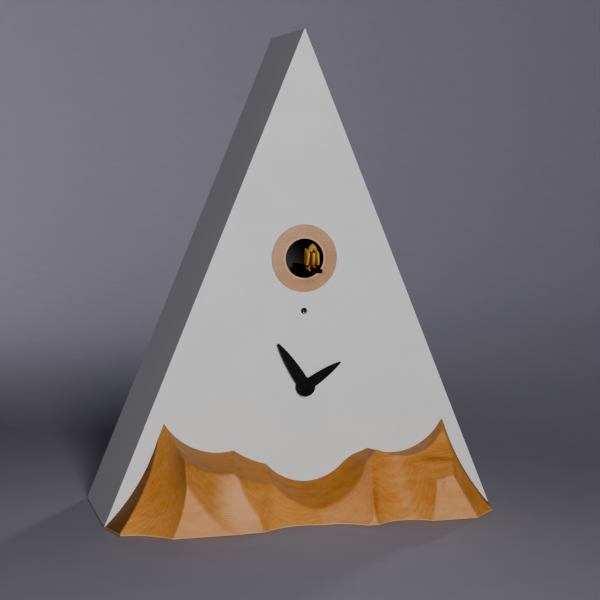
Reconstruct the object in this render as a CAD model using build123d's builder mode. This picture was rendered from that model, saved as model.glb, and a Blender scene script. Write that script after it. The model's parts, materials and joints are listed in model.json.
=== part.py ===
from build123d import *
import os
from math import atan, cos, pi, radians, sin, tan

# Cuckoo clock: a tall triangular lacquered case with a carved beech mountain range along its foot,
# two leaf hands, and a small bird that slides out of a ringed hole on the hour.
# Frame: +Z up, +Y towards the back, origin at the bottom centre of the whole clock, millimetres.

os.makedirs("parts", exist_ok=True)

# ---------------------------------------------------------------- driving dimensions: case
case_width = 350.0
case_height = 420.5
case_depth_wanted = 112.5
side_board = 9.0
front_board = 8.0
pad_thickness = 1.0
pad_radius = 6.0
pad_inset = 15.0
pad_spread = 110.0
carving_proud = 53.5
carving_end_proud = 30.5
carving_end_inset = 8.8
carving_block_height = 92.0
carving_screw_places = ((-100.0, 20.0), (-28.0, 14.0), (24.0, 14.0), (100.0, 20.0))

# ---------------------------------------------------------------- driving dimensions: rear cover
cover_thickness = 3.0
cover_recess = 2.6
cover_gap = 0.4
block_leg = 28.0
block_length = 22.0
apex_block_drop = 46.0
cover_side_screw_inset = 11.8
cover_side_screw_rise = 7.0
cover_top_screw_drop = 30.0
screw_shank_radius = 1.5
screw_head_radius = 2.9
screw_head_height = 1.8
screw_head_easing = 0.8
screw_recess_length = 3.5
screw_recess_width = 0.6
screw_recess_depth = 0.8
screw_length = 14.0
cover_screw_grip = 13.5
hanger_width = 34.0
hanger_height = 24.0
hanger_thickness = 1.2
hanger_drop = 92.0
hanger_corner_radius = 2.0
hanger_window_width = 20.0
hanger_window_height = 20.0
rivet_inset = 3.4
rivet_radius = 2.2
rivet_height = 0.8
rivet_easing = 0.5
keyhole_head_drop = 4.0
keyhole_head_radius = 4.5
keyhole_slot_radius = 2.2
keyhole_slot_length = 9.0

# ---------------------------------------------------------------- driving dimensions: bird opening
opening_height = 224.8
opening_radius = 17.0
ring_outer_radius = 29.2
ring_proud = 1.6
ring_edge_radius = 0.35
sleeve_wall = 1.8
sleeve_length = 14.0
sensor_height = 179.1
sensor_hole_radius = 2.8
sensor_radius = 2.5
sensor_set_back = 0.8
sensor_flange = 0.9
sensor_flange_radius = 2.95
holder_size = 14.0
holder_depth = 5.0

# ---------------------------------------------------------------- driving dimensions: hands
hub_height = 113.6
hub_disc_radius = 8.4
minute_hand_length = 46.0
minute_hand_half_width = 5.3
hour_hand_length = 38.0
hour_hand_half_width = 4.9
hand_tip_radius = 0.9
hand_thickness = 0.8
hand_spacing = 1.0
leaf_widest = 0.24
leaf_root = 0.96
leaf_shoulder_slope = -0.03
leaf_tip_slope = -0.28
cap_radius = 3.0
cap_edge_radius = 0.4
minutes_past = 54.5
hour_shown = 1

# ---------------------------------------------------------------- driving dimensions: movement
movement_size = 56.0
movement_thickness = 16.0
movement_wall = 1.2
gasket_thickness = 1.0
bush_radius = 4.0
pipe_radius = 2.5
arbor_radius = 1.6
pivot_radius = 0.6
nut_across_flats = 12.0
nut_thickness = 2.6
washer_radius = 7.5
washer_proud = 0.6
bush_past_nut = 0.4
pipe_past_bush = 0.6
pipe_past_hand = 0.3
arbor_past_hand = 0.7
cap_wall = 0.5
wheel_thickness = 1.2
layer_pitch = 1.8
wheel_end_gap = 0.4
pivot_depth = 0.9
axial_gap = 0.1
stator_left = -23.0
stator_post_radius = 1.2
rotor_radius = 3.2
rotor_length = 2.6
coil_length = 17.0
coil_size = 8.0
coil_depth = 3.4
coil_shoulder = 1.5
setting_knob_radius = 8.0
setting_knob_inset = 0.2

# ---------------------------------------------------------------- driving dimensions: gear teeth
tooth_root_depth = 1.1
tooth_tip_height = 0.8
tooth_share = 0.38
tooth_flank_angle = 20.0
tooth_root_reach = 0.9
tooth_tip_reach = 0.7
tooth_inset = 0.1

# ---------------------------------------------------------------- driving dimensions: bird slide
bird_travel = 42.0
bird_front = 32.5
bird_length = 19.0
perch_reach = 48.0
perch_width = 4.0
perch_drop = 6.2
perch_thickness = 3.2
knob_radius = 1.6
frame_wall = 1.8
frame_left = 27.0
frame_right_wanted = 41.0
frame_below = 30.0
frame_above = 26.0
rod_radius = 1.5
rod_spread = 14.0
rod_drop = 20.0
carriage_length = 14.0
carriage_height = 6.0
carriage_margin = 3.0
carriage_behind_sleeve = 2.0
arm_post_width = 8.0
rack_start = 12.0
rack_before_pinion = 2.0
rack_after_pinion = 2.5
rack_end_gap = 1.5
rack_line = 22.0
rack_root_inset = 2.5
rack_height = 4.0
rack_module = 1.0
rack_pinion_teeth = 12
drive_module = 0.5
drive_wheel_teeth = 36
motor_pinion_teeth = 10
drive_wheel_rise = 1.6
drive_wheel_thickness = 1.6
drive_hub_radius = 2.4
drive_bottom_gap = 0.2
gear_pin_radius = 1.0
gear_pin_head_radius = 1.8
gear_pin_head_height = 0.6
gear_pin_end = 1.6
motor_radius = 10.0
motor_length = 24.0
motor_edge = 1.2
motor_boss_radius = 3.0
motor_collar_radius = 1.7
motor_collar_gap = 0.3
motor_pinion_overlap = 0.4

# ---------------------------------------------------------------- driving dimensions: bird
# Each body section gives its height over the body's foot, half width, half length and shift back.
bird_sections = (
    (0.0, 3.6, 6.85, 0.6),
    (6.5, 5.0, 8.35, 0.4),
    (12.5, 4.6, 5.6, -1.4),
    (18.7, 1.5, 2.3, -2.4),
)
bird_foot_gap = 1.4
foot_radius = 0.7
foot_spread = 1.2
wing_thickness = 1.4
wing_from_middle = 5.1
# Corners and passing points of a wing's outline: back from the bird's middle, and over the body's foot.
wing_shoulder = (-5.6, 13.0)
wing_crest = (-1.0, 14.6)
wing_nape = (3.6, 11.4)
wing_edge = (6.8, 5.15)
wing_tip = (8.6, 0.4)
wing_root = (-2.6, 0.4)
wing_breast = (-5.4, 5.0)
beak_root_from_middle = 4.6
beak_rise = 13.4
beak_half_gape = 0.9
beak_upper_tilt = 12.0
beak_lower_tilt = -14.0
beak_root_radius = 1.3
beak_tip_radius = 0.3

# ---------------------------------------------------------------- driving dimensions: rear controls
control_height = 46.0
control_left = 92.0
board_thickness = 1.6
board_standoff = 7.0
volume_knob_radius = 7.0
button_radius = 3.0
button_travel = 1.5
switch_travel = 6.0
board_width = 56.0
board_height = 34.0
volume_offset = -15.0
switch_offset = 3.0
button_offset = 18.0
post_radius = 3.0
post_spread_x = 24.0
post_spread_z = 13.0
switch_knob_width = 4.0
switch_knob_height = 3.2
switch_slot_margin = 4.0
switch_body_width = 13.0
switch_body_height = 7.0
switch_body_depth = 4.4
switch_flange_height = 4.8
switch_flange = 1.0
button_switch_size = 6.0
button_flange = 1.0
button_flange_margin = 1.2
pot_depth = 5.0
pot_radius = 8.0
pot_floor = 1.0
volume_shaft_radius = 2.0
volume_grip_count = 18
volume_grip_radius = 0.9
volume_grip_offset = 0.5
volume_mark_inset = 2.2
volume_mark_length = 3.0
volume_mark_width = 0.8
volume_mark_depth = 0.5
volume_knob_inset = 0.3
control_inset = 0.6
capacitor_offset = -12.0
capacitor_radius = 5.0
chip_offset_x = 8.0
chip_offset_z = 2.0
chip_width = 14.0
chip_height = 10.0
board_part_depth = 6.0
speaker_radius = 28.0
speaker_rim = 5.0
speaker_depth = 13.0
speaker_sheet = 1.2
speaker_lip = 1.4
magnet_radius = 14.0
magnet_depth = 8.0
magnet_edge = 1.0
basket_boss_radius = 12.0
basket_hole_radius = 4.0
basket_sheet = 0.9
voice_coil_radius = 5.4
voice_coil_wall = 0.6
speaker_side = 92.0
speaker_height = 46.0
cell_radius = 7.2
cell_length = 50.5
cell_edge = 0.6
cell_end_room = 3.6
box_wall = 1.6
box_floor = 4.4
box_shelf = 0.8
box_depth_room = 2.4
contact_plate = 0.4
contact_size = 10.0
contact_nub_radius = 3.2
contact_nub_taper = 18.0
door_gap = 0.3
door_land = 1.0
door_thickness = 2.0
hinge_rise = 1.9
hinge_lip = 1.2
hinge_pin_radius = 0.8
hinge_pin_length = 2.0
hinge_pin_root = 0.5
hinge_end_gap = 0.2
finger_radius = 6.0
grille_hole_radius = 1.7
grille_rings = ((1, 0.0), (6, 6.5), (12, 13.0), (18, 19.5))
lead_radius = 0.9
lead_bend_share = 0.45

# ---------------------------------------------------------------- named clearances
running_gap = 0.05
socket_gap = 0.1
assembly_gap = 0.2
loose_gap = 0.3

# ---------------------------------------------------------------- derived: slide unit's depth
# The pinion stands where the rack can pass it for the whole travel; the case is at least deep enough
# for the slide unit and its rear cover.
frame_front = front_board
pinion_depth = rack_start + bird_travel + rack_before_pinion
rack_end = pinion_depth + rack_after_pinion
frame_inner_back = rack_end + bird_travel + rack_end_gap
frame_back = frame_inner_back + frame_wall
slide_depth = frame_back + assembly_gap + cover_thickness + cover_recess
case_depth = max(case_depth_wanted, slide_depth)

# ---------------------------------------------------------------- derived: case
total_depth = carving_proud + case_depth
face_y = carving_proud - total_depth / 2
floor_z = pad_thickness
half_base = case_width / 2
apex_z = floor_z + case_height
lean = atan(half_base / case_height)
board_run = side_board / cos(lean)
inner_half_base = half_base - board_run
cover_back = case_depth - cover_recess
cover_front = cover_back - cover_thickness
inner_floor = floor_z + side_board
opening_z = floor_z + opening_height
sensor_z = floor_z + sensor_height
hub_z = floor_z + hub_height


def inner_half_width(height):
    """Half the clear width between the side boards at a height."""
    return inner_half_base - (height - floor_z) * tan(lean)


def behind(depth):
    """A plane parallel to the face, a distance behind it, that looks forward."""
    return Plane.XZ.offset(-(face_y + depth))


def finish(piece, name):
    """Label one finished piece and write its file."""
    piece.part.label = name
    export_step(piece.part, f"parts/{name}.step")


def triangle_within(gap, bottom):
    """Corners of the rear opening drawn in by a gap, from a bottom height to the apex."""
    half = inner_half_width(bottom) - gap / cos(lean)
    top = bottom + half / tan(lean)
    return [(-half, bottom), (half, bottom), (0, top)]


# ================================================================ case
carving_screw_spots = [(x, floor_z + z) for x, z in carving_screw_places]
with BuildPart() as front_panel:
    with BuildSketch(behind(0)):
        Polygon((-half_base, floor_z), (half_base, floor_z), (0, apex_z), align=None)
        with Locations((0, opening_z)):
            Circle(opening_radius + sleeve_wall + assembly_gap, mode=Mode.SUBTRACT)
        with Locations((0, hub_z)):
            Circle(bush_radius + assembly_gap, mode=Mode.SUBTRACT)
        with Locations((0, sensor_z)):
            Circle(sensor_hole_radius, mode=Mode.SUBTRACT)
    extrude(amount=-front_board)
    with BuildSketch(behind(0)):
        with Locations(*carving_screw_spots):
            Circle(screw_shank_radius + assembly_gap)
    extrude(amount=-front_board, mode=Mode.SUBTRACT)
finish(front_panel, "front_panel")

for side, name in ((-1, "side_left"), (1, "side_right")):
    with BuildPart() as side_panel:
        with BuildSketch(behind(front_board)):
            Polygon(
                (side * half_base, floor_z),
                (0, apex_z),
                (0, apex_z - board_run / tan(lean)),
                (side * inner_half_base, floor_z),
                align=None,
            )
        extrude(amount=-(case_depth - front_board))
    finish(side_panel, name)

with BuildPart() as base_board:
    with BuildSketch(behind(front_board)):
        Polygon(
            (-inner_half_base, floor_z),
            (inner_half_base, floor_z),
            (inner_half_width(inner_floor), inner_floor),
            (-inner_half_width(inner_floor), inner_floor),
            align=None,
        )
    extrude(amount=-(case_depth - front_board))
finish(base_board, "base_board")

pad_spots = [
    (x, face_y + y) for y in (-pad_inset, case_depth - pad_inset) for x in (-pad_spread, pad_spread)
]
with BuildPart() as felt_pads:
    with BuildSketch(Plane.XY):
        with Locations(*pad_spots):
            Circle(pad_radius)
    extrude(amount=pad_thickness)
finish(felt_pads, "felt_pads")

# Blocks glued into the three corners carry the rear cover's screws.
corner_x = inner_half_width(inner_floor)
slope_x = block_leg * sin(lean)
slope_z = block_leg * cos(lean)
inner_apex_z = inner_floor + corner_x / tan(lean)
apex_block_half = apex_block_drop * tan(lean)
side_screw_x = corner_x - cover_side_screw_inset
side_screw_z = inner_floor + cover_side_screw_rise
cover_screw_spots = [
    (-side_screw_x, side_screw_z),
    (side_screw_x, side_screw_z),
    (0, inner_apex_z - cover_top_screw_drop),
]
pilot_radius = screw_shank_radius + running_gap

with BuildPart() as corner_blocks:
    with BuildSketch(behind(cover_front)):
        for side in (-1, 1):
            Polygon(
                (side * corner_x, inner_floor),
                (side * (corner_x - block_leg), inner_floor),
                (side * (corner_x - slope_x), inner_floor + slope_z),
                align=None,
            )
        Polygon(
            (0, inner_apex_z),
            (-apex_block_half, inner_apex_z - apex_block_drop),
            (apex_block_half, inner_apex_z - apex_block_drop),
            align=None,
        )
    extrude(amount=block_length)
    with BuildSketch(behind(cover_front)):
        with Locations(*cover_screw_spots):
            Circle(pilot_radius)
    extrude(amount=screw_length, mode=Mode.SUBTRACT)
finish(corner_blocks, "corner_blocks")

# ================================================================ carved mountains
# The block is hollowed by round gouge cuts. A top cut starts on the wood's back at a height and runs
# forward; a front cut starts under the wood at a distance forward and runs up. Each one gives the axis
# start (across, height or forward), the tool radius, and how far the axis drifts across and falls,
# or leans back, per unit of its run.
top_cuts = {
    "left_end": (-297.0, 120.0, 168.7, 0.29, -0.05),
    "left_saddle": (-75.1, 118.8, 57.8, 0.04, 0.28),
    "left_step": (-17.0, 146.9, 90.0, 0.06, 0.55),
    "valley": (1.3, 87.1, 50.4, 0.04, 0.55),
    "middle_peak": (47.5, 89.8, 35.0, -0.96, 0.59),
    "right_saddle": (81.8, 102.9, 51.9, 0.08, -0.11),
    "right_end": (342.7, 127.3, 206.6, -0.41, -0.17),
}
front_cuts = {
    "left_flank": (-166.7, 100.4, 55.6, -0.04, 0.74),
    "left_bowl": (-50.9, 167.6, 109.7, -0.10, 0.33),
    "left_notch": (-47.0, 145.7, 66.0, 0.36, 0.96),
    "valley_left": (-16.9, 109.9, 59.6, 0.13, 0.65),
    "valley_right": (12.0, 110.6, 54.9, -0.05, 0.77),
    "right_bowl": (78.1, 82.8, 36.2, -0.19, 0.36),
    "right_flank": (269.8, 162.4, 150.0, -0.35, 0.35),
}
shoulder_radius = 80.3
shoulder_axis_start = (92.0, 89.0, 106.8)
shoulder_axis_drift = (-0.38, 0.44)
cut_length = 600.0


def gouge_cut(start, direction, radius):
    """Remove a round cut whose axis passes through a point given as across, forward and height."""
    across, forward, height = start
    run_x, run_forward, run_z = direction
    axis_start = (across, face_y - forward, floor_z + height)
    with Locations(Plane(origin=axis_start, z_dir=(run_x, -run_forward, run_z))):
        Cylinder(radius=radius, height=cut_length, mode=Mode.SUBTRACT)


with BuildPart() as carved_mountains:
    with BuildSketch(Plane.XY.offset(floor_z)):
        Polygon(
            (-half_base, face_y),
            (half_base, face_y),
            (half_base - carving_end_inset, face_y - carving_end_proud),
            (half_base - carving_end_inset, face_y - carving_proud),
            (-half_base + carving_end_inset, face_y - carving_proud),
            (-half_base + carving_end_inset, face_y - carving_end_proud),
            align=None,
        )
    extrude(amount=carving_block_height)
    for across, height, radius, drift, fall in top_cuts.values():
        gouge_cut((across, 0, height), (drift, 1, -fall), radius)
    for across, forward, radius, drift, back in front_cuts.values():
        gouge_cut((across, forward, 0), (drift, -back, 1), radius)
    gouge_cut(shoulder_axis_start, (1, *shoulder_axis_drift), shoulder_radius)
    with BuildSketch(behind(0)):
        with Locations(*carving_screw_spots):
            Circle(pilot_radius)
    extrude(amount=screw_length + running_gap, mode=Mode.SUBTRACT)
finish(carved_mountains, "carved_mountains")


def screw(spots, plane, length):
    """Pan-head screws at spots of a plane: shanks along its normal, heads on its other side."""
    with BuildSketch(plane) as shanks:
        with Locations(*spots):
            Circle(screw_shank_radius)
    extrude(shanks.sketch, amount=length)
    with BuildSketch(plane) as heads:
        with Locations(*spots):
            Circle(screw_head_radius)
    extrude(heads.sketch, amount=-screw_head_height)
    fillet(faces().group_by(Axis.Y)[-1].edges(), screw_head_easing)
    with BuildSketch(plane.offset(-screw_head_height)) as recesses:
        with Locations(*spots):
            Rectangle(screw_recess_length, screw_recess_width)
            Rectangle(screw_recess_width, screw_recess_length)
    extrude(recesses.sketch, amount=screw_recess_depth, mode=Mode.SUBTRACT)


with BuildPart() as carving_screws:
    screw(carving_screw_spots, behind(front_board), front_board + screw_length)
finish(carving_screws, "carving_screws")

# ================================================================ bird opening and light sensor
with BuildPart() as opening_ring:
    with BuildSketch(behind(0)):
        with Locations((0, opening_z)):
            Circle(ring_outer_radius)
            Circle(opening_radius, mode=Mode.SUBTRACT)
    extrude(amount=ring_proud)
    front_edges = faces().sort_by(Axis.Y)[0].edges()
    fillet(front_edges, ring_edge_radius)
finish(opening_ring, "opening_ring")

sleeve_radius = opening_radius + sleeve_wall
with BuildPart() as opening_sleeve:
    with BuildSketch(behind(0)):
        with Locations((0, opening_z)):
            Circle(sleeve_radius)
            Circle(opening_radius, mode=Mode.SUBTRACT)
    extrude(amount=-sleeve_length)
finish(opening_sleeve, "opening_sleeve")

with BuildPart() as light_sensor:
    with BuildSketch(behind(sensor_set_back + sensor_radius)):
        with Locations((0, sensor_z)):
            Circle(sensor_radius)
    extrude(amount=-(front_board + holder_depth - sensor_set_back - sensor_radius))
    with Locations((0, face_y + sensor_set_back + sensor_radius, sensor_z)):
        Sphere(sensor_radius)
    with BuildSketch(behind(front_board + holder_depth)):
        with Locations((0, sensor_z)):
            Circle(sensor_flange_radius)
    extrude(amount=-sensor_flange)
finish(light_sensor, "light_sensor")

with BuildPart() as sensor_holder:
    with BuildSketch(behind(front_board)):
        with Locations((0, sensor_z)):
            Rectangle(holder_size, holder_size)
            Circle(sensor_radius + socket_gap, mode=Mode.SUBTRACT)
    extrude(amount=-holder_depth)
finish(sensor_holder, "sensor_holder")

# ================================================================ hands
movement_front = front_board + gasket_thickness
bush_proud = washer_proud + nut_thickness + bush_past_nut
hour_hand_back = bush_proud + pipe_past_bush
minute_hand_back = hour_hand_back + hand_thickness + hand_spacing
minute_hand_angle = 90.0 - 6.0 * minutes_past
hour_hand_angle = 90.0 - 30.0 * (hour_shown + minutes_past / 60.0)


def leaf_hand(length, half_width, back, angle, bore):
    """A flat leaf-shaped hand: round hub disc, bulging flanks and a small round tip."""
    widest = leaf_widest * length
    tip = length - hand_tip_radius
    along = (cos(radians(angle)), 0, sin(radians(angle)))
    with BuildSketch(Plane((0, face_y - back, hub_z), x_dir=along, z_dir=(0, -1, 0))) as outline:
        with BuildLine():
            upper = Spline(
                (widest, half_width),
                (tip, hand_tip_radius),
                tangents=[(1, leaf_shoulder_slope), (1, leaf_tip_slope)],
            )
            lower = mirror(upper, about=Plane.XZ)
            ThreePointArc(upper @ 1, (length, 0), lower @ 1)
            root = leaf_root * half_width
            Polyline(upper @ 0, (0, root), (0, -root), lower @ 0)
        make_face()
        Circle(hub_disc_radius)
        Circle(bore, mode=Mode.SUBTRACT)
    extrude(outline.sketch, amount=hand_thickness)


with BuildPart() as hour_hand:
    leaf_hand(
        hour_hand_length, hour_hand_half_width, hour_hand_back, hour_hand_angle,
        pipe_radius + running_gap,
    )
finish(hour_hand, "hour_hand")

with BuildPart() as minute_hand:
    leaf_hand(
        minute_hand_length, minute_hand_half_width, minute_hand_back, minute_hand_angle,
        arbor_radius + running_gap,
    )
finish(minute_hand, "minute_hand")

arbor_tip = minute_hand_back + hand_thickness + arbor_past_hand
cap_front = arbor_tip + cap_wall
with BuildPart() as hand_cap:
    with BuildSketch(behind(-cap_front)):
        with Locations((0, hub_z)):
            Circle(cap_radius)
    extrude(amount=-(cap_front - minute_hand_back - hand_thickness))
    fillet(faces().sort_by(Axis.Y)[0].edges(), cap_edge_radius)
    with BuildSketch(behind(-minute_hand_back - hand_thickness)):
        with Locations((0, hub_z)):
            Circle(arbor_radius + running_gap)
    extrude(amount=arbor_tip - minute_hand_back - hand_thickness + running_gap, mode=Mode.SUBTRACT)
finish(hand_cap, "hand_cap")

# ================================================================ movement
shell_back = movement_front + movement_thickness
gear_bay_front = movement_front + movement_wall
gear_bay_back = shell_back - movement_wall
hour_module = 0.5
train_module = 0.4
cannon_teeth = 10
minute_wheel_teeth = 30
minute_pinion_teeth = 8
hour_wheel_teeth = 32
setting_teeth = 15
centre_wheel_teeth = 45
third_pinion_teeth = 6
third_wheel_teeth = 32
fourth_pinion_teeth = 8
fourth_wheel_teeth = 24
rotor_pinion_teeth = 8


def layer(number):
    """Depth of the front side of one layer of wheels."""
    return gear_bay_front + wheel_end_gap + number * layer_pitch


def gear_centres(module, teeth_a, teeth_b):
    """Distance between the axes of two meshed gears."""
    return module * (teeth_a + teeth_b) / 2


def meshing_phase(phase, teeth, direction, other_teeth):
    """Angle of the other gear's first tooth, so that it meshes in a direction from the first gear."""
    turn = (direction - phase) * teeth / 360.0
    return direction + 180.0 - (360.0 / other_teeth) * (0.5 - turn)


def gear_face(teeth, module, phase):
    """Toothed disc with straight-flanked stub teeth, drawn about the sketch's local origin."""
    pitch_radius = module * teeth / 2
    root_radius = pitch_radius - tooth_root_depth * module
    tip_radius = pitch_radius + tooth_tip_height * module
    half_pitch_tooth = tooth_share * pi * module / 2
    flank = tan(radians(tooth_flank_angle))
    half_root = half_pitch_tooth + flank * tooth_root_reach * module
    half_tip = half_pitch_tooth - flank * tooth_tip_reach * module
    start_radius = root_radius - tooth_inset * root_radius
    Circle(root_radius)
    with PolarLocations(0, teeth, start_angle=phase):
        Polygon(
            (start_radius, -half_root),
            (tip_radius, -half_tip),
            (tip_radius, half_tip),
            (start_radius, half_root),
            align=None,
        )


def turned(angle, distance, start):
    """The point at a distance and a direction from a start point."""
    return (start[0] + distance * cos(radians(angle)), start[1] + distance * sin(radians(angle)))


def gear_at(centre, depth, thickness, teeth, module, phase):
    """One gear in the current part, its axis along Y."""
    plane = Plane((centre[0], face_y + depth, centre[1]), x_dir=(1, 0, 0), z_dir=(0, -1, 0))
    with BuildSketch(plane) as outline:
        gear_face(teeth, module, phase)
    extrude(outline.sketch, amount=-thickness)


def rod_between(centre, start, end, radius, mode=Mode.ADD):
    """A round rod, or hole, along Y from one depth to another."""
    with BuildSketch(behind(start)) as section:
        with Locations(centre):
            Circle(radius)
    extrude(section.sketch, amount=-(end - start), mode=mode)


hub = (0.0, hub_z)
minute_wheel_direction = -90.0
setting_direction = 180.0
third_direction = 45.0
fourth_direction = 90.0
rotor_direction = 180.0
minute_wheel_centre = turned(
    minute_wheel_direction, gear_centres(hour_module, cannon_teeth, minute_wheel_teeth), hub
)
setting_centre = turned(
    setting_direction, gear_centres(hour_module, minute_wheel_teeth, setting_teeth), minute_wheel_centre
)
third_centre = turned(
    third_direction, gear_centres(train_module, centre_wheel_teeth, third_pinion_teeth), hub
)
fourth_centre = turned(
    fourth_direction, gear_centres(train_module, third_wheel_teeth, fourth_pinion_teeth), third_centre
)
rotor_centre = turned(
    rotor_direction, gear_centres(train_module, fourth_wheel_teeth, rotor_pinion_teeth), fourth_centre
)
cannon_phase = 0.0
minute_wheel_phase = meshing_phase(
    cannon_phase, cannon_teeth, minute_wheel_direction, minute_wheel_teeth
)
minute_pinion_phase = 0.0
hour_wheel_phase = meshing_phase(
    minute_pinion_phase, minute_pinion_teeth, minute_wheel_direction + 180.0, hour_wheel_teeth
)
setting_phase = meshing_phase(
    minute_wheel_phase, minute_wheel_teeth, setting_direction, setting_teeth
)
centre_wheel_phase = 0.0
third_pinion_phase = meshing_phase(
    centre_wheel_phase, centre_wheel_teeth, third_direction, third_pinion_teeth
)
third_wheel_phase = 0.0
fourth_pinion_phase = meshing_phase(
    third_wheel_phase, third_wheel_teeth, fourth_direction, fourth_pinion_teeth
)
fourth_wheel_phase = 0.0
rotor_pinion_phase = meshing_phase(
    fourth_wheel_phase, fourth_wheel_teeth, rotor_direction, rotor_pinion_teeth
)
bush_bore = pipe_radius + socket_gap
pipe_bore = arbor_radius + socket_gap
pivot_centres = [minute_wheel_centre, third_centre, fourth_centre, rotor_centre]

with BuildPart() as gasket:
    with BuildSketch(behind(front_board)):
        with Locations(hub):
            Rectangle(movement_size, movement_size)
            Circle(bush_radius + assembly_gap, mode=Mode.SUBTRACT)
    extrude(amount=-gasket_thickness)
finish(gasket, "movement_gasket")

with BuildPart() as movement_front_plate:
    with BuildSketch(behind(movement_front)):
        with Locations(hub):
            Rectangle(movement_size, movement_size)
    extrude(amount=-movement_wall)
    rod_between(hub, -bush_proud, movement_front, bush_radius)
    rod_between(hub, -bush_proud, gear_bay_front, bush_bore, mode=Mode.SUBTRACT)
    for centre in [*pivot_centres, setting_centre]:
        rod_between(
            centre, gear_bay_front - pivot_depth, gear_bay_front, pivot_radius + running_gap,
            mode=Mode.SUBTRACT,
        )
finish(movement_front_plate, "movement_front_plate")

with BuildPart() as movement_shell:
    with BuildSketch(behind(gear_bay_front)):
        with Locations(hub):
            Rectangle(movement_size, movement_size)
    extrude(amount=-(shell_back - gear_bay_front))
    with BuildSketch(behind(gear_bay_front)):
        with Locations(hub):
            Rectangle(movement_size - 2 * movement_wall, movement_size - 2 * movement_wall)
    extrude(amount=-(gear_bay_back - gear_bay_front), mode=Mode.SUBTRACT)
    for centre in pivot_centres:
        rod_between(
            centre, gear_bay_back, gear_bay_back + pivot_depth, pivot_radius + running_gap,
            mode=Mode.SUBTRACT,
        )
    rod_between(
        hub, gear_bay_back, gear_bay_back + pivot_depth, arbor_radius + running_gap, mode=Mode.SUBTRACT
    )
    rod_between(setting_centre, gear_bay_back, shell_back, arbor_radius + running_gap, mode=Mode.SUBTRACT)
finish(movement_shell, "movement_shell")

with BuildPart() as bush_nut:
    with BuildSketch(behind(-washer_proud)):
        with Locations(hub):
            RegularPolygon(nut_across_flats / 2, 6, major_radius=False)
            Circle(bush_radius + running_gap, mode=Mode.SUBTRACT)
    extrude(amount=nut_thickness)
finish(bush_nut, "bush_nut")

with BuildPart() as bush_washer:
    with BuildSketch(behind(0)):
        with Locations(hub):
            Circle(washer_radius)
            Circle(bush_radius + running_gap, mode=Mode.SUBTRACT)
    extrude(amount=washer_proud)
finish(bush_washer, "bush_washer")

with BuildPart() as centre_arbor:
    rod_between(hub, -arbor_tip, gear_bay_back + pivot_depth - axial_gap, arbor_radius)
    gear_at(hub, layer(1), wheel_thickness, cannon_teeth, hour_module, cannon_phase)
    gear_at(hub, layer(2), wheel_thickness, centre_wheel_teeth, train_module, centre_wheel_phase)
finish(centre_arbor, "centre_arbor")

pipe_front = -hour_hand_back - hand_thickness - pipe_past_hand
with BuildPart() as hour_wheel:
    gear_at(hub, layer(0), wheel_thickness, hour_wheel_teeth, hour_module, hour_wheel_phase)
    rod_between(hub, pipe_front, layer(0), pipe_radius)
    rod_between(hub, pipe_front, layer(0) + wheel_thickness, pipe_bore, mode=Mode.SUBTRACT)
finish(hour_wheel, "hour_wheel")

pivot_front = gear_bay_front - pivot_depth + axial_gap
pivot_back = gear_bay_back + pivot_depth - axial_gap
with BuildPart() as minute_wheel:
    rod_between(minute_wheel_centre, pivot_front, pivot_back, pivot_radius)
    gear_at(
        minute_wheel_centre, layer(0), layer_pitch, minute_pinion_teeth, hour_module,
        minute_pinion_phase,
    )
    gear_at(
        minute_wheel_centre, layer(1), wheel_thickness, minute_wheel_teeth, hour_module,
        minute_wheel_phase,
    )
finish(minute_wheel, "minute_wheel")

with BuildPart() as third_wheel:
    rod_between(third_centre, pivot_front, pivot_back, pivot_radius)
    gear_at(
        third_centre, layer(2), layer_pitch, third_pinion_teeth, train_module, third_pinion_phase
    )
    gear_at(
        third_centre, layer(3), wheel_thickness, third_wheel_teeth, train_module, third_wheel_phase
    )
finish(third_wheel, "third_wheel")

with BuildPart() as fourth_wheel:
    rod_between(fourth_centre, pivot_front, pivot_back, pivot_radius)
    gear_at(
        fourth_centre, layer(3), layer_pitch, fourth_pinion_teeth, train_module, fourth_pinion_phase
    )
    gear_at(
        fourth_centre, layer(4), wheel_thickness, fourth_wheel_teeth, train_module, fourth_wheel_phase
    )
finish(fourth_wheel, "fourth_wheel")

stator_front = layer(5)
stator_thickness = 1.2
with BuildPart() as rotor:
    rod_between(rotor_centre, pivot_front, pivot_back, pivot_radius)
    gear_at(rotor_centre, layer(4), layer_pitch, rotor_pinion_teeth, train_module, rotor_pinion_phase)
    rod_between(rotor_centre, layer(5), layer(5) + rotor_length, rotor_radius)
finish(rotor, "rotor")

# The stator plate surrounds the rotor and carries the coil on its left leg.
stator_arbor_gap = 1.0
stator_right = fourth_centre[0] - pivot_radius - stator_arbor_gap
stator_post_inset = 3.0
leg_post_inset = 2.0
leg_width = 5.0
leg_length = 24.0
stator_half = 6.0
leg_centre_x = stator_left + leg_width / 2
leg_top = rotor_centre[1] - stator_half
stator_post_spots = [
    (stator_left + stator_post_inset, rotor_centre[1] + stator_post_inset),
    (leg_centre_x, leg_top - leg_length + leg_post_inset),
]
with BuildPart() as stator:
    with BuildSketch(behind(stator_front)):
        with Locations(((stator_left + stator_right) / 2, rotor_centre[1])):
            Rectangle(stator_right - stator_left, 2 * stator_half)
        with Locations((leg_centre_x, leg_top - leg_length / 2)):
            Rectangle(leg_width, leg_length)
        with Locations(rotor_centre):
            Circle(rotor_radius + assembly_gap, mode=Mode.SUBTRACT)
    extrude(amount=-stator_thickness)
    with BuildSketch(behind(stator_front + stator_thickness)):
        with Locations(*stator_post_spots):
            Circle(stator_post_radius)
    extrude(amount=-(gear_bay_back - stator_front - stator_thickness))
finish(stator, "stator")

coil_z = leg_top - coil_shoulder - coil_length / 2
with BuildPart() as coil:
    with Locations((leg_centre_x, face_y + stator_front + stator_thickness / 2, coil_z)):
        Box(coil_size, coil_depth, coil_length)
        Box(
            leg_width + 2 * running_gap, stator_thickness + 2 * running_gap, coil_length,
            mode=Mode.SUBTRACT,
        )
finish(coil, "coil")

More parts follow.
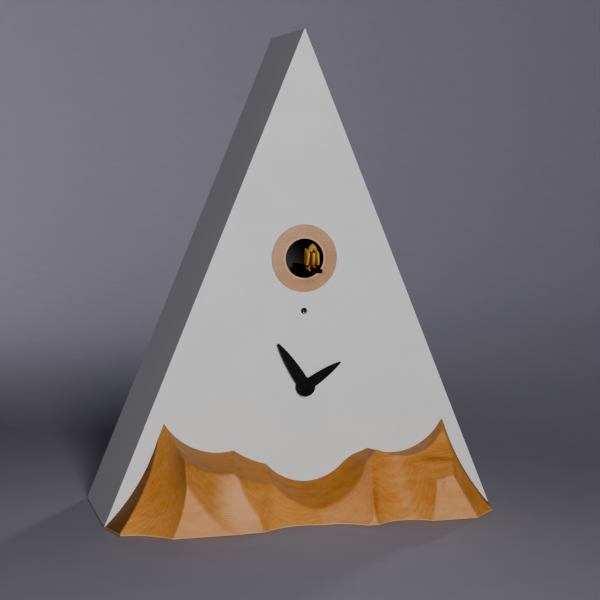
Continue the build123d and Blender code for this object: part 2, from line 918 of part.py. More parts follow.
circuit_width = 20.0
circuit_height = 13.0
circuit_x = 15.0
circuit_z = hub_z - 17.0
circuit_thickness = 1.0
circuit_front = gear_bay_back - circuit_thickness
timer_x = circuit_x - 4.0
timer_size = 5.0
timer_thickness = 1.2
crystal_x = circuit_x + 5.0
crystal_radius = 1.0
crystal_length = 6.0
crystal_sink = 0.1
with BuildPart() as circuit_board:
    with BuildSketch(behind(circuit_front)):
        with Locations((circuit_x, circuit_z)):
            Rectangle(circuit_width, circuit_height)
    extrude(amount=-(gear_bay_back - circuit_front))
    with BuildSketch(behind(circuit_front)):
        with Locations((timer_x, circuit_z)):
            Rectangle(timer_size, timer_size)
    extrude(amount=timer_thickness)
    crystal_y = face_y + circuit_front - crystal_radius + crystal_sink
    with Locations(Plane((crystal_x, crystal_y, circuit_z), z_dir=(0, 0, 1))):
        Cylinder(radius=crystal_radius, height=crystal_length)
finish(circuit_board, "circuit_board")

# The setting stem is driven from behind: its gear meshes with the minute wheel.
stem_radius = arbor_radius
stem_end = cover_back + loose_gap
with BuildPart() as setting_stem:
    rod_between(setting_centre, pivot_front, layer(1), pivot_radius)
    gear_at(setting_centre, layer(1), wheel_thickness, setting_teeth, hour_module, setting_phase)
    rod_between(setting_centre, layer(1) + wheel_thickness, stem_end, stem_radius)
finish(setting_stem, "setting_stem")

setting_knob_front = cover_back + loose_gap
setting_knob_back = case_depth - setting_knob_inset
setting_grip_count = 12
setting_grip_radius = 1.2
setting_grip_offset = 0.6
with BuildPart() as setting_knob:
    plane = Plane(
        (setting_centre[0], face_y + setting_knob_front, setting_centre[1]),
        x_dir=(1, 0, 0),
        z_dir=(0, 1, 0),
    )
    with BuildSketch(plane):
        Circle(setting_knob_radius)
        with PolarLocations(setting_knob_radius + setting_grip_offset, setting_grip_count):
            Circle(setting_grip_radius, mode=Mode.SUBTRACT)
    extrude(amount=setting_knob_back - setting_knob_front)
finish(setting_knob, "setting_knob")

# ================================================================ bird slide unit
# A black frame behind the opening carries two rods. The carriage runs on them, its rack is driven by
# a pinion, and the perch arm on the carriage carries the bird out through the hole.
rod_z = opening_z - rod_drop
frame_floor = opening_z - frame_below
frame_top = opening_z + frame_above
frame_right = min(frame_right_wanted, inner_half_width(frame_top) - assembly_gap)
tray_floor = frame_floor + frame_wall
tray_inner_front = frame_front + frame_wall
carriage_front = sleeve_length + carriage_behind_sleeve
carriage_back = carriage_front + carriage_length
carriage_bottom = rod_z - carriage_height / 2
rack_pinion_radius = rack_module * rack_pinion_teeth / 2
pinion_x = rack_line + rack_pinion_radius
rack_bottom = rod_z - rack_height / 2
rack_top = rack_bottom + rack_height
drive_wheel_bottom = tray_floor + drive_wheel_rise
motor_offset = gear_centres(drive_module, drive_wheel_teeth, motor_pinion_teeth)
motor_y = pinion_depth + motor_offset
frame_middle = (frame_right - frame_left) / 2
frame_width = frame_left + frame_right

with BuildPart() as slide_frame:
    with BuildSketch(Plane.XY.offset(frame_floor)):
        with Locations((frame_middle, face_y + (frame_front + frame_back) / 2)):
            Rectangle(frame_width, frame_back - frame_front)
    extrude(amount=frame_top - frame_wall - frame_floor)
    with BuildSketch(Plane.XY.offset(tray_floor)):
        with Locations((frame_middle, face_y + (tray_inner_front + frame_inner_back) / 2)):
            Rectangle(frame_width - 2 * frame_wall, frame_inner_back - tray_inner_front)
    extrude(amount=frame_top - tray_floor, mode=Mode.SUBTRACT)
    rod_between(
        (0, opening_z), frame_front, tray_inner_front, sleeve_radius + running_gap, mode=Mode.SUBTRACT
    )
    for side in (-1, 1):
        rod_between(
            (side * rod_spread, rod_z), frame_front, frame_back, rod_radius + running_gap,
            mode=Mode.SUBTRACT,
        )
    with BuildSketch(Plane.XY.offset(frame_floor)):
        with Locations((pinion_x, face_y + motor_y)):
            Circle(motor_boss_radius + assembly_gap)
        with Locations((pinion_x, face_y + pinion_depth)):
            Circle(gear_pin_radius + running_gap)
    extrude(amount=frame_wall, mode=Mode.SUBTRACT)
finish(slide_frame, "slide_frame")

with BuildPart() as slide_lid:
    with BuildSketch(Plane.XY.offset(frame_top - frame_wall)):
        with Locations((frame_middle, face_y + (frame_front + frame_back) / 2)):
            Rectangle(frame_width, frame_back - frame_front)
    extrude(amount=frame_wall)
finish(slide_lid, "slide_lid")

with BuildPart() as guide_rods:
    for side in (-1, 1):
        rod_between((side * rod_spread, rod_z), frame_front, frame_back, rod_radius)
finish(guide_rods, "guide_rods")

arm_bottom = opening_z - perch_drop - perch_thickness
rack_front_x = rod_spread + rack_root_inset
rack_back_x = rack_line - tooth_root_depth * rack_module
rack_tip_x = rack_line + tooth_tip_height * rack_module
rack_flank = rack_module * tan(radians(tooth_flank_angle))
tooth_pitch = pi * rack_module
half_tooth_root = tooth_share * tooth_pitch / 2 + rack_flank * tooth_root_reach
half_tooth_tip = tooth_share * tooth_pitch / 2 - rack_flank * tooth_tip_reach
tooth_count = int((rack_end - rack_start) / tooth_pitch)
teeth_before_pinion = int((pinion_depth - rack_start) / tooth_pitch)
first_tooth = pinion_depth - tooth_pitch * (teeth_before_pinion - 0.5)
with BuildPart() as carriage:
    with BuildSketch(Plane.XY.offset(carriage_bottom)):
        with Locations((0, face_y + (carriage_front + carriage_back) / 2)):
            Rectangle(2 * (rod_spread + carriage_margin), carriage_length)
    extrude(amount=carriage_height)
    with BuildSketch(Plane.XY.offset(carriage_bottom)):
        with Locations((0, face_y + (carriage_front + carriage_back) / 2)):
            Rectangle(arm_post_width, carriage_length)
    extrude(amount=arm_bottom - carriage_bottom)
    with BuildSketch(Plane.XY.offset(rack_bottom)):
        with Locations(((rack_front_x + rack_back_x) / 2, face_y + (rack_start + rack_end) / 2)):
            Rectangle(rack_back_x - rack_front_x, rack_end - rack_start)
        for number in range(tooth_count):
            tooth_y = face_y + first_tooth + number * tooth_pitch
            Polygon(
                (rack_back_x - assembly_gap, tooth_y - half_tooth_root),
                (rack_tip_x, tooth_y - half_tooth_tip),
                (rack_tip_x, tooth_y + half_tooth_tip),
                (rack_back_x - assembly_gap, tooth_y + half_tooth_root),
                align=None,
            )
    extrude(amount=rack_height)
    for side in (-1, 1):
        rod_between(
            (side * rod_spread, rod_z), carriage_front, carriage_back, rod_radius + running_gap,
            mode=Mode.SUBTRACT,
        )
finish(carriage, "carriage")

with BuildPart() as perch_arm:
    with BuildSketch(Plane.XY.offset(arm_bottom)):
        with Locations((0, face_y + (carriage_back - perch_reach) / 2)):
            Rectangle(perch_width, carriage_back + perch_reach)
    extrude(amount=perch_thickness)
    with Locations((0, face_y - perch_reach, arm_bottom + perch_thickness / 2)):
        Sphere(knob_radius)
finish(perch_arm, "perch_arm")

rack_pinion_phase = 180.0
drive_wheel_top = drive_wheel_bottom + drive_wheel_thickness
pinion_over_rack = 0.4
drive_gear_height = rack_top + pinion_over_rack - tray_floor
with BuildPart() as drive_gear:
    drive_plane = Plane((pinion_x, face_y + pinion_depth, drive_wheel_bottom))
    with BuildSketch(drive_plane):
        gear_face(drive_wheel_teeth, drive_module, 0.0)
    extrude(amount=drive_wheel_thickness)
    with BuildSketch(drive_plane.offset(drive_wheel_thickness)):
        gear_face(rack_pinion_teeth, rack_module, rack_pinion_phase)
    extrude(amount=rack_top + pinion_over_rack - drive_wheel_top)
    with BuildSketch(Plane((pinion_x, face_y + pinion_depth, tray_floor + drive_bottom_gap))):
        Circle(drive_hub_radius)
    extrude(amount=drive_wheel_bottom - tray_floor - drive_bottom_gap)
    with BuildSketch(Plane((pinion_x, face_y + pinion_depth, tray_floor))):
        Circle(gear_pin_radius + running_gap)
    extrude(amount=drive_gear_height, mode=Mode.SUBTRACT)
finish(drive_gear, "drive_gear")

pin_top = rack_top + gear_pin_end
with BuildPart() as gear_pin:
    with BuildSketch(Plane((pinion_x, face_y + pinion_depth, frame_floor))):
        Circle(gear_pin_radius)
    extrude(amount=pin_top - frame_floor)
    with BuildSketch(Plane((pinion_x, face_y + pinion_depth, pin_top))):
        Circle(gear_pin_head_radius)
    extrude(amount=gear_pin_head_height)
finish(gear_pin, "gear_pin")

with BuildPart() as slide_motor:
    with BuildSketch(Plane((pinion_x, face_y + motor_y, frame_floor))):
        Circle(motor_radius)
    extrude(amount=-motor_length)
    chamfer(edges().filter_by(GeomType.CIRCLE).sort_by(Axis.Z)[0], motor_edge)
    with BuildSketch(Plane((pinion_x, face_y + motor_y, frame_floor))):
        Circle(motor_boss_radius)
    extrude(amount=frame_wall)
finish(slide_motor, "slide_motor")

motor_pinion_phase = meshing_phase(0.0, drive_wheel_teeth, 90.0, motor_pinion_teeth)
with BuildPart() as motor_pinion:
    with BuildSketch(Plane((pinion_x, face_y + motor_y, tray_floor + motor_collar_gap))):
        Circle(motor_collar_radius)
    extrude(amount=drive_wheel_bottom - tray_floor - motor_collar_gap)
    with BuildSketch(Plane((pinion_x, face_y + motor_y, drive_wheel_bottom - motor_pinion_overlap))):
        gear_face(motor_pinion_teeth, drive_module, motor_pinion_phase)
    extrude(amount=drive_wheel_thickness + 2 * motor_pinion_overlap)
finish(motor_pinion, "motor_pinion")

# ================================================================ bird
bird_foot_z = opening_z - perch_drop
bird_middle_y = face_y - bird_front + bird_length / 2
body_bottom = bird_foot_z + bird_foot_gap
with BuildPart() as bird_body:
    for rise, half_width, half_length, shift in bird_sections:
        with BuildSketch(Plane.XY.offset(body_bottom + rise)):
            with Locations((0, bird_middle_y + shift)):
                Ellipse(half_width, half_length)
    loft()
finish(bird_body, "bird_body")


def on_wing(side, *spots):
    """A wing outline's points in its sketch, whose height runs down on the bird's right."""
    return [(back, side * (body_bottom + rise)) for back, rise in spots]


with BuildPart() as bird_wings:
    for side in (-1, 1):
        wing_origin = (side * wing_from_middle, bird_middle_y, 0)
        with BuildSketch(Plane(wing_origin, x_dir=(0, 1, 0), z_dir=(side, 0, 0))):
            with BuildLine():
                ThreePointArc(*on_wing(side, wing_shoulder, wing_crest, wing_nape))
                ThreePointArc(*on_wing(side, wing_nape, wing_edge, wing_tip))
                Line(*on_wing(side, wing_tip, wing_root))
                ThreePointArc(*on_wing(side, wing_root, wing_breast, wing_shoulder))
            make_face()
        extrude(amount=wing_thickness)
finish(bird_wings, "bird_wings")

beak_root_y = bird_middle_y - beak_root_from_middle
beak_z = body_bottom + beak_rise
beak_length = beak_root_y - (face_y - bird_front)
with BuildPart() as bird_beak:
    for tilt, rise in ((beak_upper_tilt, beak_half_gape), (beak_lower_tilt, -beak_half_gape)):
        beak_plane = Plane((0, beak_root_y, beak_z + rise), x_dir=(1, 0, 0), z_dir=(0, -1, 0))
        with Locations(beak_plane.rotated((-tilt, 0, 0)).offset(beak_length / 2)):
            Cone(bottom_radius=beak_root_radius, top_radius=beak_tip_radius, height=beak_length)
    add(bird_body.part, mode=Mode.SUBTRACT)
finish(bird_beak, "bird_beak")

with BuildPart() as bird_feet:
    with BuildSketch(Plane.XY.offset(bird_foot_z)):
        with Locations((-foot_spread, bird_middle_y), (foot_spread, bird_middle_y)):
            Circle(foot_radius)
    extrude(amount=body_bottom - bird_foot_z)
finish(bird_feet, "bird_feet")

# ================================================================ battery compartment
box_inner_half = cell_length / 2 + cell_end_room
box_half = box_inner_half + box_wall
cell_low_z = inner_floor + box_floor + assembly_gap + cell_radius
cell_high_z = cell_low_z + 2 * cell_radius + 2 * assembly_gap + box_shelf
box_inner_top = cell_high_z + cell_radius + assembly_gap
box_depth = 2 * cell_radius + box_depth_room
box_front = cover_front - box_depth
cell_y = face_y + box_front + box_wall + assembly_gap + cell_radius
with BuildPart() as battery_box:
    with BuildSketch(behind(cover_front)):
        Polygon(
            (-box_half, inner_floor),
            (box_half, inner_floor),
            (box_half, box_inner_top + box_wall),
            (-box_half, box_inner_top + box_wall),
            align=None,
        )
    extrude(amount=box_depth)
    with BuildSketch(behind(cover_front)):
        for low, high in (
            (cell_low_z - cell_radius - assembly_gap, cell_low_z + cell_radius + assembly_gap),
            (cell_high_z - cell_radius - assembly_gap, box_inner_top),
        ):
            with Locations((0, (low + high) / 2)):
                Rectangle(2 * box_inner_half, high - low)
    extrude(amount=box_depth - box_wall, mode=Mode.SUBTRACT)
finish(battery_box, "battery_box")

nub_reach = box_inner_half - contact_plate - cell_length / 2 - socket_gap
with BuildPart() as battery_cells:
    for cell_z in (cell_low_z, cell_high_z):
        with BuildSketch(Plane((-cell_length / 2, cell_y, cell_z), z_dir=(1, 0, 0))):
            Circle(cell_radius)
        extrude(amount=cell_length)
    fillet(edges().filter_by(GeomType.CIRCLE), cell_edge)
finish(battery_cells, "battery_cells")

with BuildPart() as battery_contacts:
    for side in (-1, 1):
        for cell_z in (cell_low_z, cell_high_z):
            plate_plane = Plane((side * box_inner_half, cell_y, cell_z), z_dir=(-side, 0, 0))
            with BuildSketch(plate_plane):
                Rectangle(contact_size, contact_size)
            extrude(amount=contact_plate)
            with BuildSketch(plate_plane.offset(contact_plate)):
                Circle(contact_nub_radius)
            extrude(amount=nub_reach, taper=contact_nub_taper)
finish(battery_contacts, "battery_contacts")

# ================================================================ rear controls and speaker
control_z = floor_z + control_height
speaker_z = floor_z + speaker_height
board_back = cover_front - board_standoff
board_front = board_back - board_thickness
volume_x = -control_left + volume_offset
switch_x = -control_left + switch_offset
button_x = -control_left + button_offset
post_spots = [
    (-control_left + sx * post_spread_x, control_z + sz * post_spread_z) for sx in (-1, 1) for sz in (-1, 1)
]
switch_slot_width = switch_travel + switch_slot_margin
door_half = box_inner_half - door_land
door_low = inner_floor + box_floor
door_high = box_inner_top
hinge_z = door_low + hinge_rise
hinge_depth = cover_back - door_thickness / 2
hanger_z = inner_apex_z - hanger_drop
keyhole_z = hanger_z - keyhole_head_drop

with BuildPart() as rear_cover:
    with BuildSketch(behind(cover_front)):
        Polygon(*triangle_within(cover_gap, inner_floor + cover_gap), align=None)
        with Locations(*cover_screw_spots):
            Circle(screw_shank_radius + assembly_gap, mode=Mode.SUBTRACT)
        with Locations(setting_centre):
            Circle(stem_radius + assembly_gap, mode=Mode.SUBTRACT)
        with Locations((0, hanger_z)):
            Rectangle(hanger_window_width, hanger_window_height, mode=Mode.SUBTRACT)
        with Locations((0, (door_low + door_high) / 2)):
            Rectangle(2 * door_half, door_high - door_low, mode=Mode.SUBTRACT)
        with Locations((0, door_high)):
            Circle(finger_radius, mode=Mode.SUBTRACT)
        with Locations((volume_x, control_z)):
            Circle(volume_shaft_radius + assembly_gap, mode=Mode.SUBTRACT)
        with Locations((button_x, control_z)):
            Circle(button_radius + assembly_gap, mode=Mode.SUBTRACT)
        with Locations((switch_x, control_z)):
            Rectangle(
                switch_slot_width + 2 * assembly_gap, switch_knob_height + 2 * assembly_gap,
                mode=Mode.SUBTRACT,
            )
        for count, ring_radius in grille_rings:
            with Locations((speaker_side, speaker_z)):
                with PolarLocations(ring_radius, count):
                    Circle(grille_hole_radius, mode=Mode.SUBTRACT)
    extrude(amount=-cover_thickness)
    with BuildSketch(behind(cover_front)):
        with Locations(*post_spots):
            Circle(post_radius)
    extrude(amount=board_standoff)
    for side in (-1, 1):
        hinge_origin = (side * (door_half - socket_gap), face_y + hinge_depth, hinge_z)
        with BuildSketch(Plane(hinge_origin, z_dir=(side, 0, 0))):
            Circle(hinge_pin_radius + running_gap)
        extrude(amount=hinge_pin_length + hinge_end_gap, mode=Mode.SUBTRACT)
finish(rear_cover, "rear_cover")

with BuildPart() as cover_screws:
    screw(cover_screw_spots, behind(cover_back), cover_thickness + cover_screw_grip)
finish(cover_screws, "cover_screws")

with BuildPart() as hanger_plate:
    with BuildSketch(behind(cover_back)):
        with Locations((0, hanger_z)):
            RectangleRounded(hanger_width, hanger_height, hanger_corner_radius)
        with Locations((0, keyhole_z)):
            Circle(keyhole_head_radius, mode=Mode.SUBTRACT)
        with Locations((0, keyhole_z + keyhole_slot_length / 2)):
            Rectangle(2 * keyhole_slot_radius, keyhole_slot_length, mode=Mode.SUBTRACT)
        with Locations((0, keyhole_z + keyhole_slot_length)):
            Circle(keyhole_slot_radius, mode=Mode.SUBTRACT)
    extrude(amount=-hanger_thickness)
finish(hanger_plate, "hanger_plate")

rivet_spots = [(side * (hanger_width / 2 - rivet_inset), hanger_z) for side in (-1, 1)]
with BuildPart() as hanger_rivets:
    with BuildSketch(behind(cover_back + hanger_thickness)):
        with Locations(*rivet_spots):
            Circle(rivet_radius)
    extrude(amount=-rivet_height)
    fillet(faces().group_by(Axis.Y)[-1].edges(), rivet_easing)
finish(hanger_rivets, "hanger_rivets")

with BuildPart() as battery_door:
    with BuildSketch(behind(cover_back)):
        Polygon(
            (-door_half + door_gap, hinge_z - hinge_lip),
            (door_half - door_gap, hinge_z - hinge_lip),
            (door_half - door_gap, door_high - door_gap),
            (-door_half + door_gap, door_high - door_gap),
            align=None,
        )
    extrude(amount=door_thickness)
    for side in (-1, 1):
        pin_origin = (side * (door_half - door_gap - hinge_pin_root), face_y + hinge_depth, hinge_z)
        with BuildSketch(Plane(pin_origin, z_dir=(side, 0, 0))):
            Circle(hinge_pin_radius)
        extrude(amount=hinge_pin_length + hinge_pin_root)
finish(battery_door, "battery_door")

push_switch_depth = board_standoff - button_flange - button_travel - 3 * socket_gap
with BuildPart() as control_board:
    with BuildSketch(behind(board_back)):
        with Locations((-control_left, control_z)):
            Rectangle(board_width, board_height)
    extrude(amount=board_thickness)
    with BuildSketch(behind(board_front)):
        with Locations((-control_left + capacitor_offset, control_z)):
            Circle(capacitor_radius)
        with Locations((-control_left + chip_offset_x, control_z + chip_offset_z)):
            Rectangle(chip_width, chip_height)
    extrude(amount=board_part_depth)
    with BuildSketch(behind(board_back)):
        with Locations((switch_x, control_z)):
            Rectangle(switch_body_width, switch_body_height)
    extrude(amount=-switch_body_depth)
    with BuildSketch(behind(board_back)):
        with Locations((button_x, control_z)):
            Rectangle(button_switch_size, button_switch_size)
    extrude(amount=-push_switch_depth)
    rod_between((volume_x, control_z), board_back, board_back + pot_depth, pot_radius)
    rod_between(
        (volume_x, control_z), board_back + pot_floor, board_back + pot_depth,
        volume_shaft_radius + running_gap, mode=Mode.SUBTRACT,
    )
finish(control_board, "control_board")

slider_front = board_back + switch_body_depth + socket_gap
slider_step = slider_front + switch_flange
with BuildPart() as switch_slider:
    with BuildSketch(behind(slider_front)):
        with Locations((switch_x - switch_travel / 2, control_z)):
            Rectangle(switch_knob_width, switch_flange_height)
    extrude(amount=-switch_flange)
    with BuildSketch(behind(slider_step)):
        with Locations((switch_x - switch_travel / 2, control_z)):
            Rectangle(switch_knob_width, switch_knob_height)
    extrude(amount=-(case_depth - control_inset - slider_step))
finish(switch_slider, "switch_slider")

knob_back = case_depth - volume_knob_inset
shaft_front = board_back + pot_floor + running_gap
with BuildPart() as volume_knob:
    rod_between((volume_x, control_z), shaft_front, knob_back, volume_shaft_radius)
    rod_between((volume_x, control_z), cover_back + loose_gap, knob_back, volume_knob_radius)
    knob_plane = Plane((volume_x, face_y + knob_back, control_z), x_dir=(1, 0, 0), z_dir=(0, 1, 0))
    with BuildSketch(knob_plane):
        with PolarLocations(volume_knob_radius + volume_grip_offset, volume_grip_count):
            Circle(volume_grip_radius)
        with Locations((volume_knob_radius - volume_mark_inset, 0)):
            Rectangle(volume_mark_length, volume_mark_width)
    extrude(amount=-volume_mark_depth, mode=Mode.SUBTRACT)
finish(volume_knob, "volume_knob")

button_flange_back = cover_front - socket_gap
with BuildPart() as test_button:
    rod_between(
        (button_x, control_z), button_flange_back - button_flange, button_flange_back,
        button_radius + button_flange_margin,
    )
    rod_between((button_x, control_z), button_flange_back, case_depth - control_inset, button_radius)
finish(test_button, "test_button")


def turned_about_y(points, across, height):
    """A solid of revolution about a Y axis, from (radius, depth) points."""
    plane = Plane((across, face_y, height), x_dir=(1, 0, 0), z_dir=(0, 0, 1))
    with BuildSketch(plane) as section:
        Polygon(*points, align=None)
    revolve(section.sketch, axis=Axis((across, face_y, height), (0, 1, 0)))


cone_outer = speaker_radius - speaker_rim
basket_back = cover_front - speaker_depth
rim_front = cover_front - speaker_sheet
flare_front = rim_front - 0.4
with BuildPart() as speaker_frame:
    turned_about_y(
        [
            (cone_outer, cover_front),
            (speaker_radius, cover_front),
            (speaker_radius, rim_front),
            (cone_outer + speaker_lip, rim_front),
            (basket_boss_radius, basket_back),
            (basket_hole_radius, basket_back),
            (basket_hole_radius, basket_back + basket_sheet),
            (basket_boss_radius - 0.4, basket_back + basket_sheet),
            (cone_outer, flare_front),
        ],
        speaker_side,
        speaker_z,
    )
finish(speaker_frame, "speaker_frame")

with BuildPart() as speaker_magnet:
    rod_between((speaker_side, speaker_z), basket_back - magnet_depth, basket_back, magnet_radius)
    chamfer(edges().filter_by(GeomType.CIRCLE).sort_by(Axis.Y)[0], magnet_edge)
finish(speaker_magnet, "speaker_magnet")

cone_edge = cone_outer - assembly_gap
coil_front = basket_back + 1.1
coil_back = basket_back + 3.0
dome_depth = 8.0
cone_sheet = 0.6
coil_inner_radius = voice_coil_radius - voice_coil_wall
with BuildPart() as speaker_cone:
    turned_about_y(
        [
            (0.0, cover_front - dome_depth),
            (5.0, cover_front - dome_depth - 2 * cone_sheet),
            (cone_edge, cover_front - cone_sheet),
            (cone_edge, cover_front - 2 * cone_sheet),
            (voice_coil_radius, coil_back),
            (voice_coil_radius, coil_front),
            (coil_inner_radius, coil_front),
            (coil_inner_radius, coil_back),
            (0.0, cover_front - dome_depth - 0.8),
        ],
        speaker_side,
        speaker_z,
    )
finish(speaker_cone, "speaker_cone")

# ================================================================ internal leads
def lead(points):
    """One sleeved lead along straight runs joined by arcs as large as the runs allow."""
    knots = [Vector(*point) for point in points]
    radii = []
    for before, here, after in zip(knots, knots[1:], knots[2:]):
        turn_angle = (here - before).get_angle(after - here)
        shorter = min((here - before).length, (after - here).length)
        radii.append(lead_bend_share * shorter / tan(radians(turn_angle / 2)))
    with BuildLine() as route:
        if radii:
            FilletPolyline(*knots, radius=radii)
        else:
            Line(*knots)
    with BuildSketch(Plane(knots[0], z_dir=knots[1] - knots[0])) as section:
        Circle(lead_radius)
    sweep(section.sketch, path=route.wire())


board_middle_y = face_y + (board_front + board_back) / 2
board_top = control_z + board_height / 2
board_right = -control_left + board_width / 2
speaker_lead_y = face_y + cover_front - 1.0
speaker_lead_x = speaker_side - speaker_radius
motor_lead_x = pinion_x - 6.0
motor_lead_y = face_y + motor_y
motor_bottom = frame_floor - motor_length
sensor_back = face_y + front_board + holder_depth + sensor_flange
with BuildPart() as hookup_leads:
    lead([
        (-box_half, cell_y, cell_high_z),
        (-box_half - 7.0, cell_y, cell_high_z),
        (-box_half - 17.0, cell_y + 1.0, cell_high_z + 3.0),
        (board_right + 9.0, board_middle_y, control_z - 2.0),
        (board_right, board_middle_y, control_z - 2.0),
    ])
    lead([
        (board_right, board_middle_y, control_z + 8.0),
        (board_right + 10.0, board_middle_y, control_z + 8.0),
        (-38.0, board_middle_y - 1.0, control_z + 12.0),
        (-14.0, board_middle_y - 3.0, control_z + 17.0),
        (16.0, board_middle_y - 2.0, control_z + 15.0),
        (40.0, board_middle_y + 2.0, control_z + 8.0),
        (speaker_lead_x - 11.0, speaker_lead_y, speaker_z),
        (speaker_lead_x, speaker_lead_y, speaker_z),
    ])
    lead([
        (-control_left - 5.0, board_middle_y, board_top),
        (-control_left - 5.0, board_middle_y, board_top + 14.0),
        (-control_left + 3.0, board_middle_y - 6.0, board_top + 36.0),
        (-control_left + 24.0, board_middle_y - 14.0, board_top + 58.0),
        (-40.0, board_middle_y - 22.0, board_top + 76.0),
        (-12.0, motor_lead_y + 4.0, motor_bottom - 20.0),
        (12.0, motor_lead_y, motor_bottom - 21.0),
        (motor_lead_x, motor_lead_y, motor_bottom - 11.0),
        (motor_lead_x, motor_lead_y, motor_bottom),
    ])
    lead([
        (0, sensor_back, sensor_z),
        (0, sensor_back + 7.0, sensor_z),
        (0, sensor_back + 12.0, sensor_z + 7.0),
        (0, sensor_back + 12.0, frame_floor),
    ])
finish(hookup_leads, "hookup_leads")
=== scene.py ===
"""Looks of the mountain cuckoo clock: its finishes, carved range, ring, hands, bird, studio and camera."""

import json
import logging
import math
from collections.abc import Callable, Sequence
from dataclasses import dataclass, field
from enum import Enum

import bmesh
import bpy
import numpy as np
from mathutils import Matrix, Vector


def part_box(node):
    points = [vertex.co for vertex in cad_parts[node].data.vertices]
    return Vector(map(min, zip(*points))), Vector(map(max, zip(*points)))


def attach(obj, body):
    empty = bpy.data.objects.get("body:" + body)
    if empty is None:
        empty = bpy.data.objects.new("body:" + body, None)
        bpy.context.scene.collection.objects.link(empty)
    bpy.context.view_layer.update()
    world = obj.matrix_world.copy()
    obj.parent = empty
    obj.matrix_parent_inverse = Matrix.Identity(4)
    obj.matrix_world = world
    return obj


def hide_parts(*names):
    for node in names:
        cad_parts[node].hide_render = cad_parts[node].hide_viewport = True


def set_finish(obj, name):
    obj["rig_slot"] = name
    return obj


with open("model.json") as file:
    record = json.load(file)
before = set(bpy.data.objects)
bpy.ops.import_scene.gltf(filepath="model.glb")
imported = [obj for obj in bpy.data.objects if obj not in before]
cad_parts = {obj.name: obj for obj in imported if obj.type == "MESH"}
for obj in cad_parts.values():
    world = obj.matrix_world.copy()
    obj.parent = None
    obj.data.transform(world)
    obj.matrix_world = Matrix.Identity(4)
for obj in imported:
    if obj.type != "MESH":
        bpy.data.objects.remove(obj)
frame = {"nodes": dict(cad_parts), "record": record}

log = logging.getLogger("clock")
MM = 0.001
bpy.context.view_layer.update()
CASE = "case"
BIRD_BODY = "bird_carriage"
COVER_SLOT = "black_cover"
COVER_NODES = ("rear_cover", "battery_door", "battery_box", "setting_knob", "slide_frame", "slide_lid")
GLINT_DROP = 1.5 * MM  # the painted glint lies this far below the sensor window's middle
FAR = 400.0  # millimetres, for a ray that misses a cut
SAME_PLANE = 0.01  # millimetres
SAME_PLACE = 1e-6  # metres
EMPTY_EDGE = 1e-7  # metres
FLAT_ANGLE = math.radians(0.5)
SHARP_ANGLE = math.radians(35.0)
WAVE_RATE = 20.0  # a wave texture's bands repeat every full turn over this times its scale
MIX_FIRST, MIX_SECOND, MIX_RESULT = 6, 7, 2  # the mix node's colour sockets
Array = np.ndarray
Colour = tuple[float, float, float]
Point = tuple[float, float, float]
Knots = tuple[tuple[float, ...], ...]


# ---------------------------------------------------------------- node trees
class Axis(Enum):
    """A direction that bands of a pattern are stacked along."""

    DEPTH = "Y"
    HEIGHT = "Z"


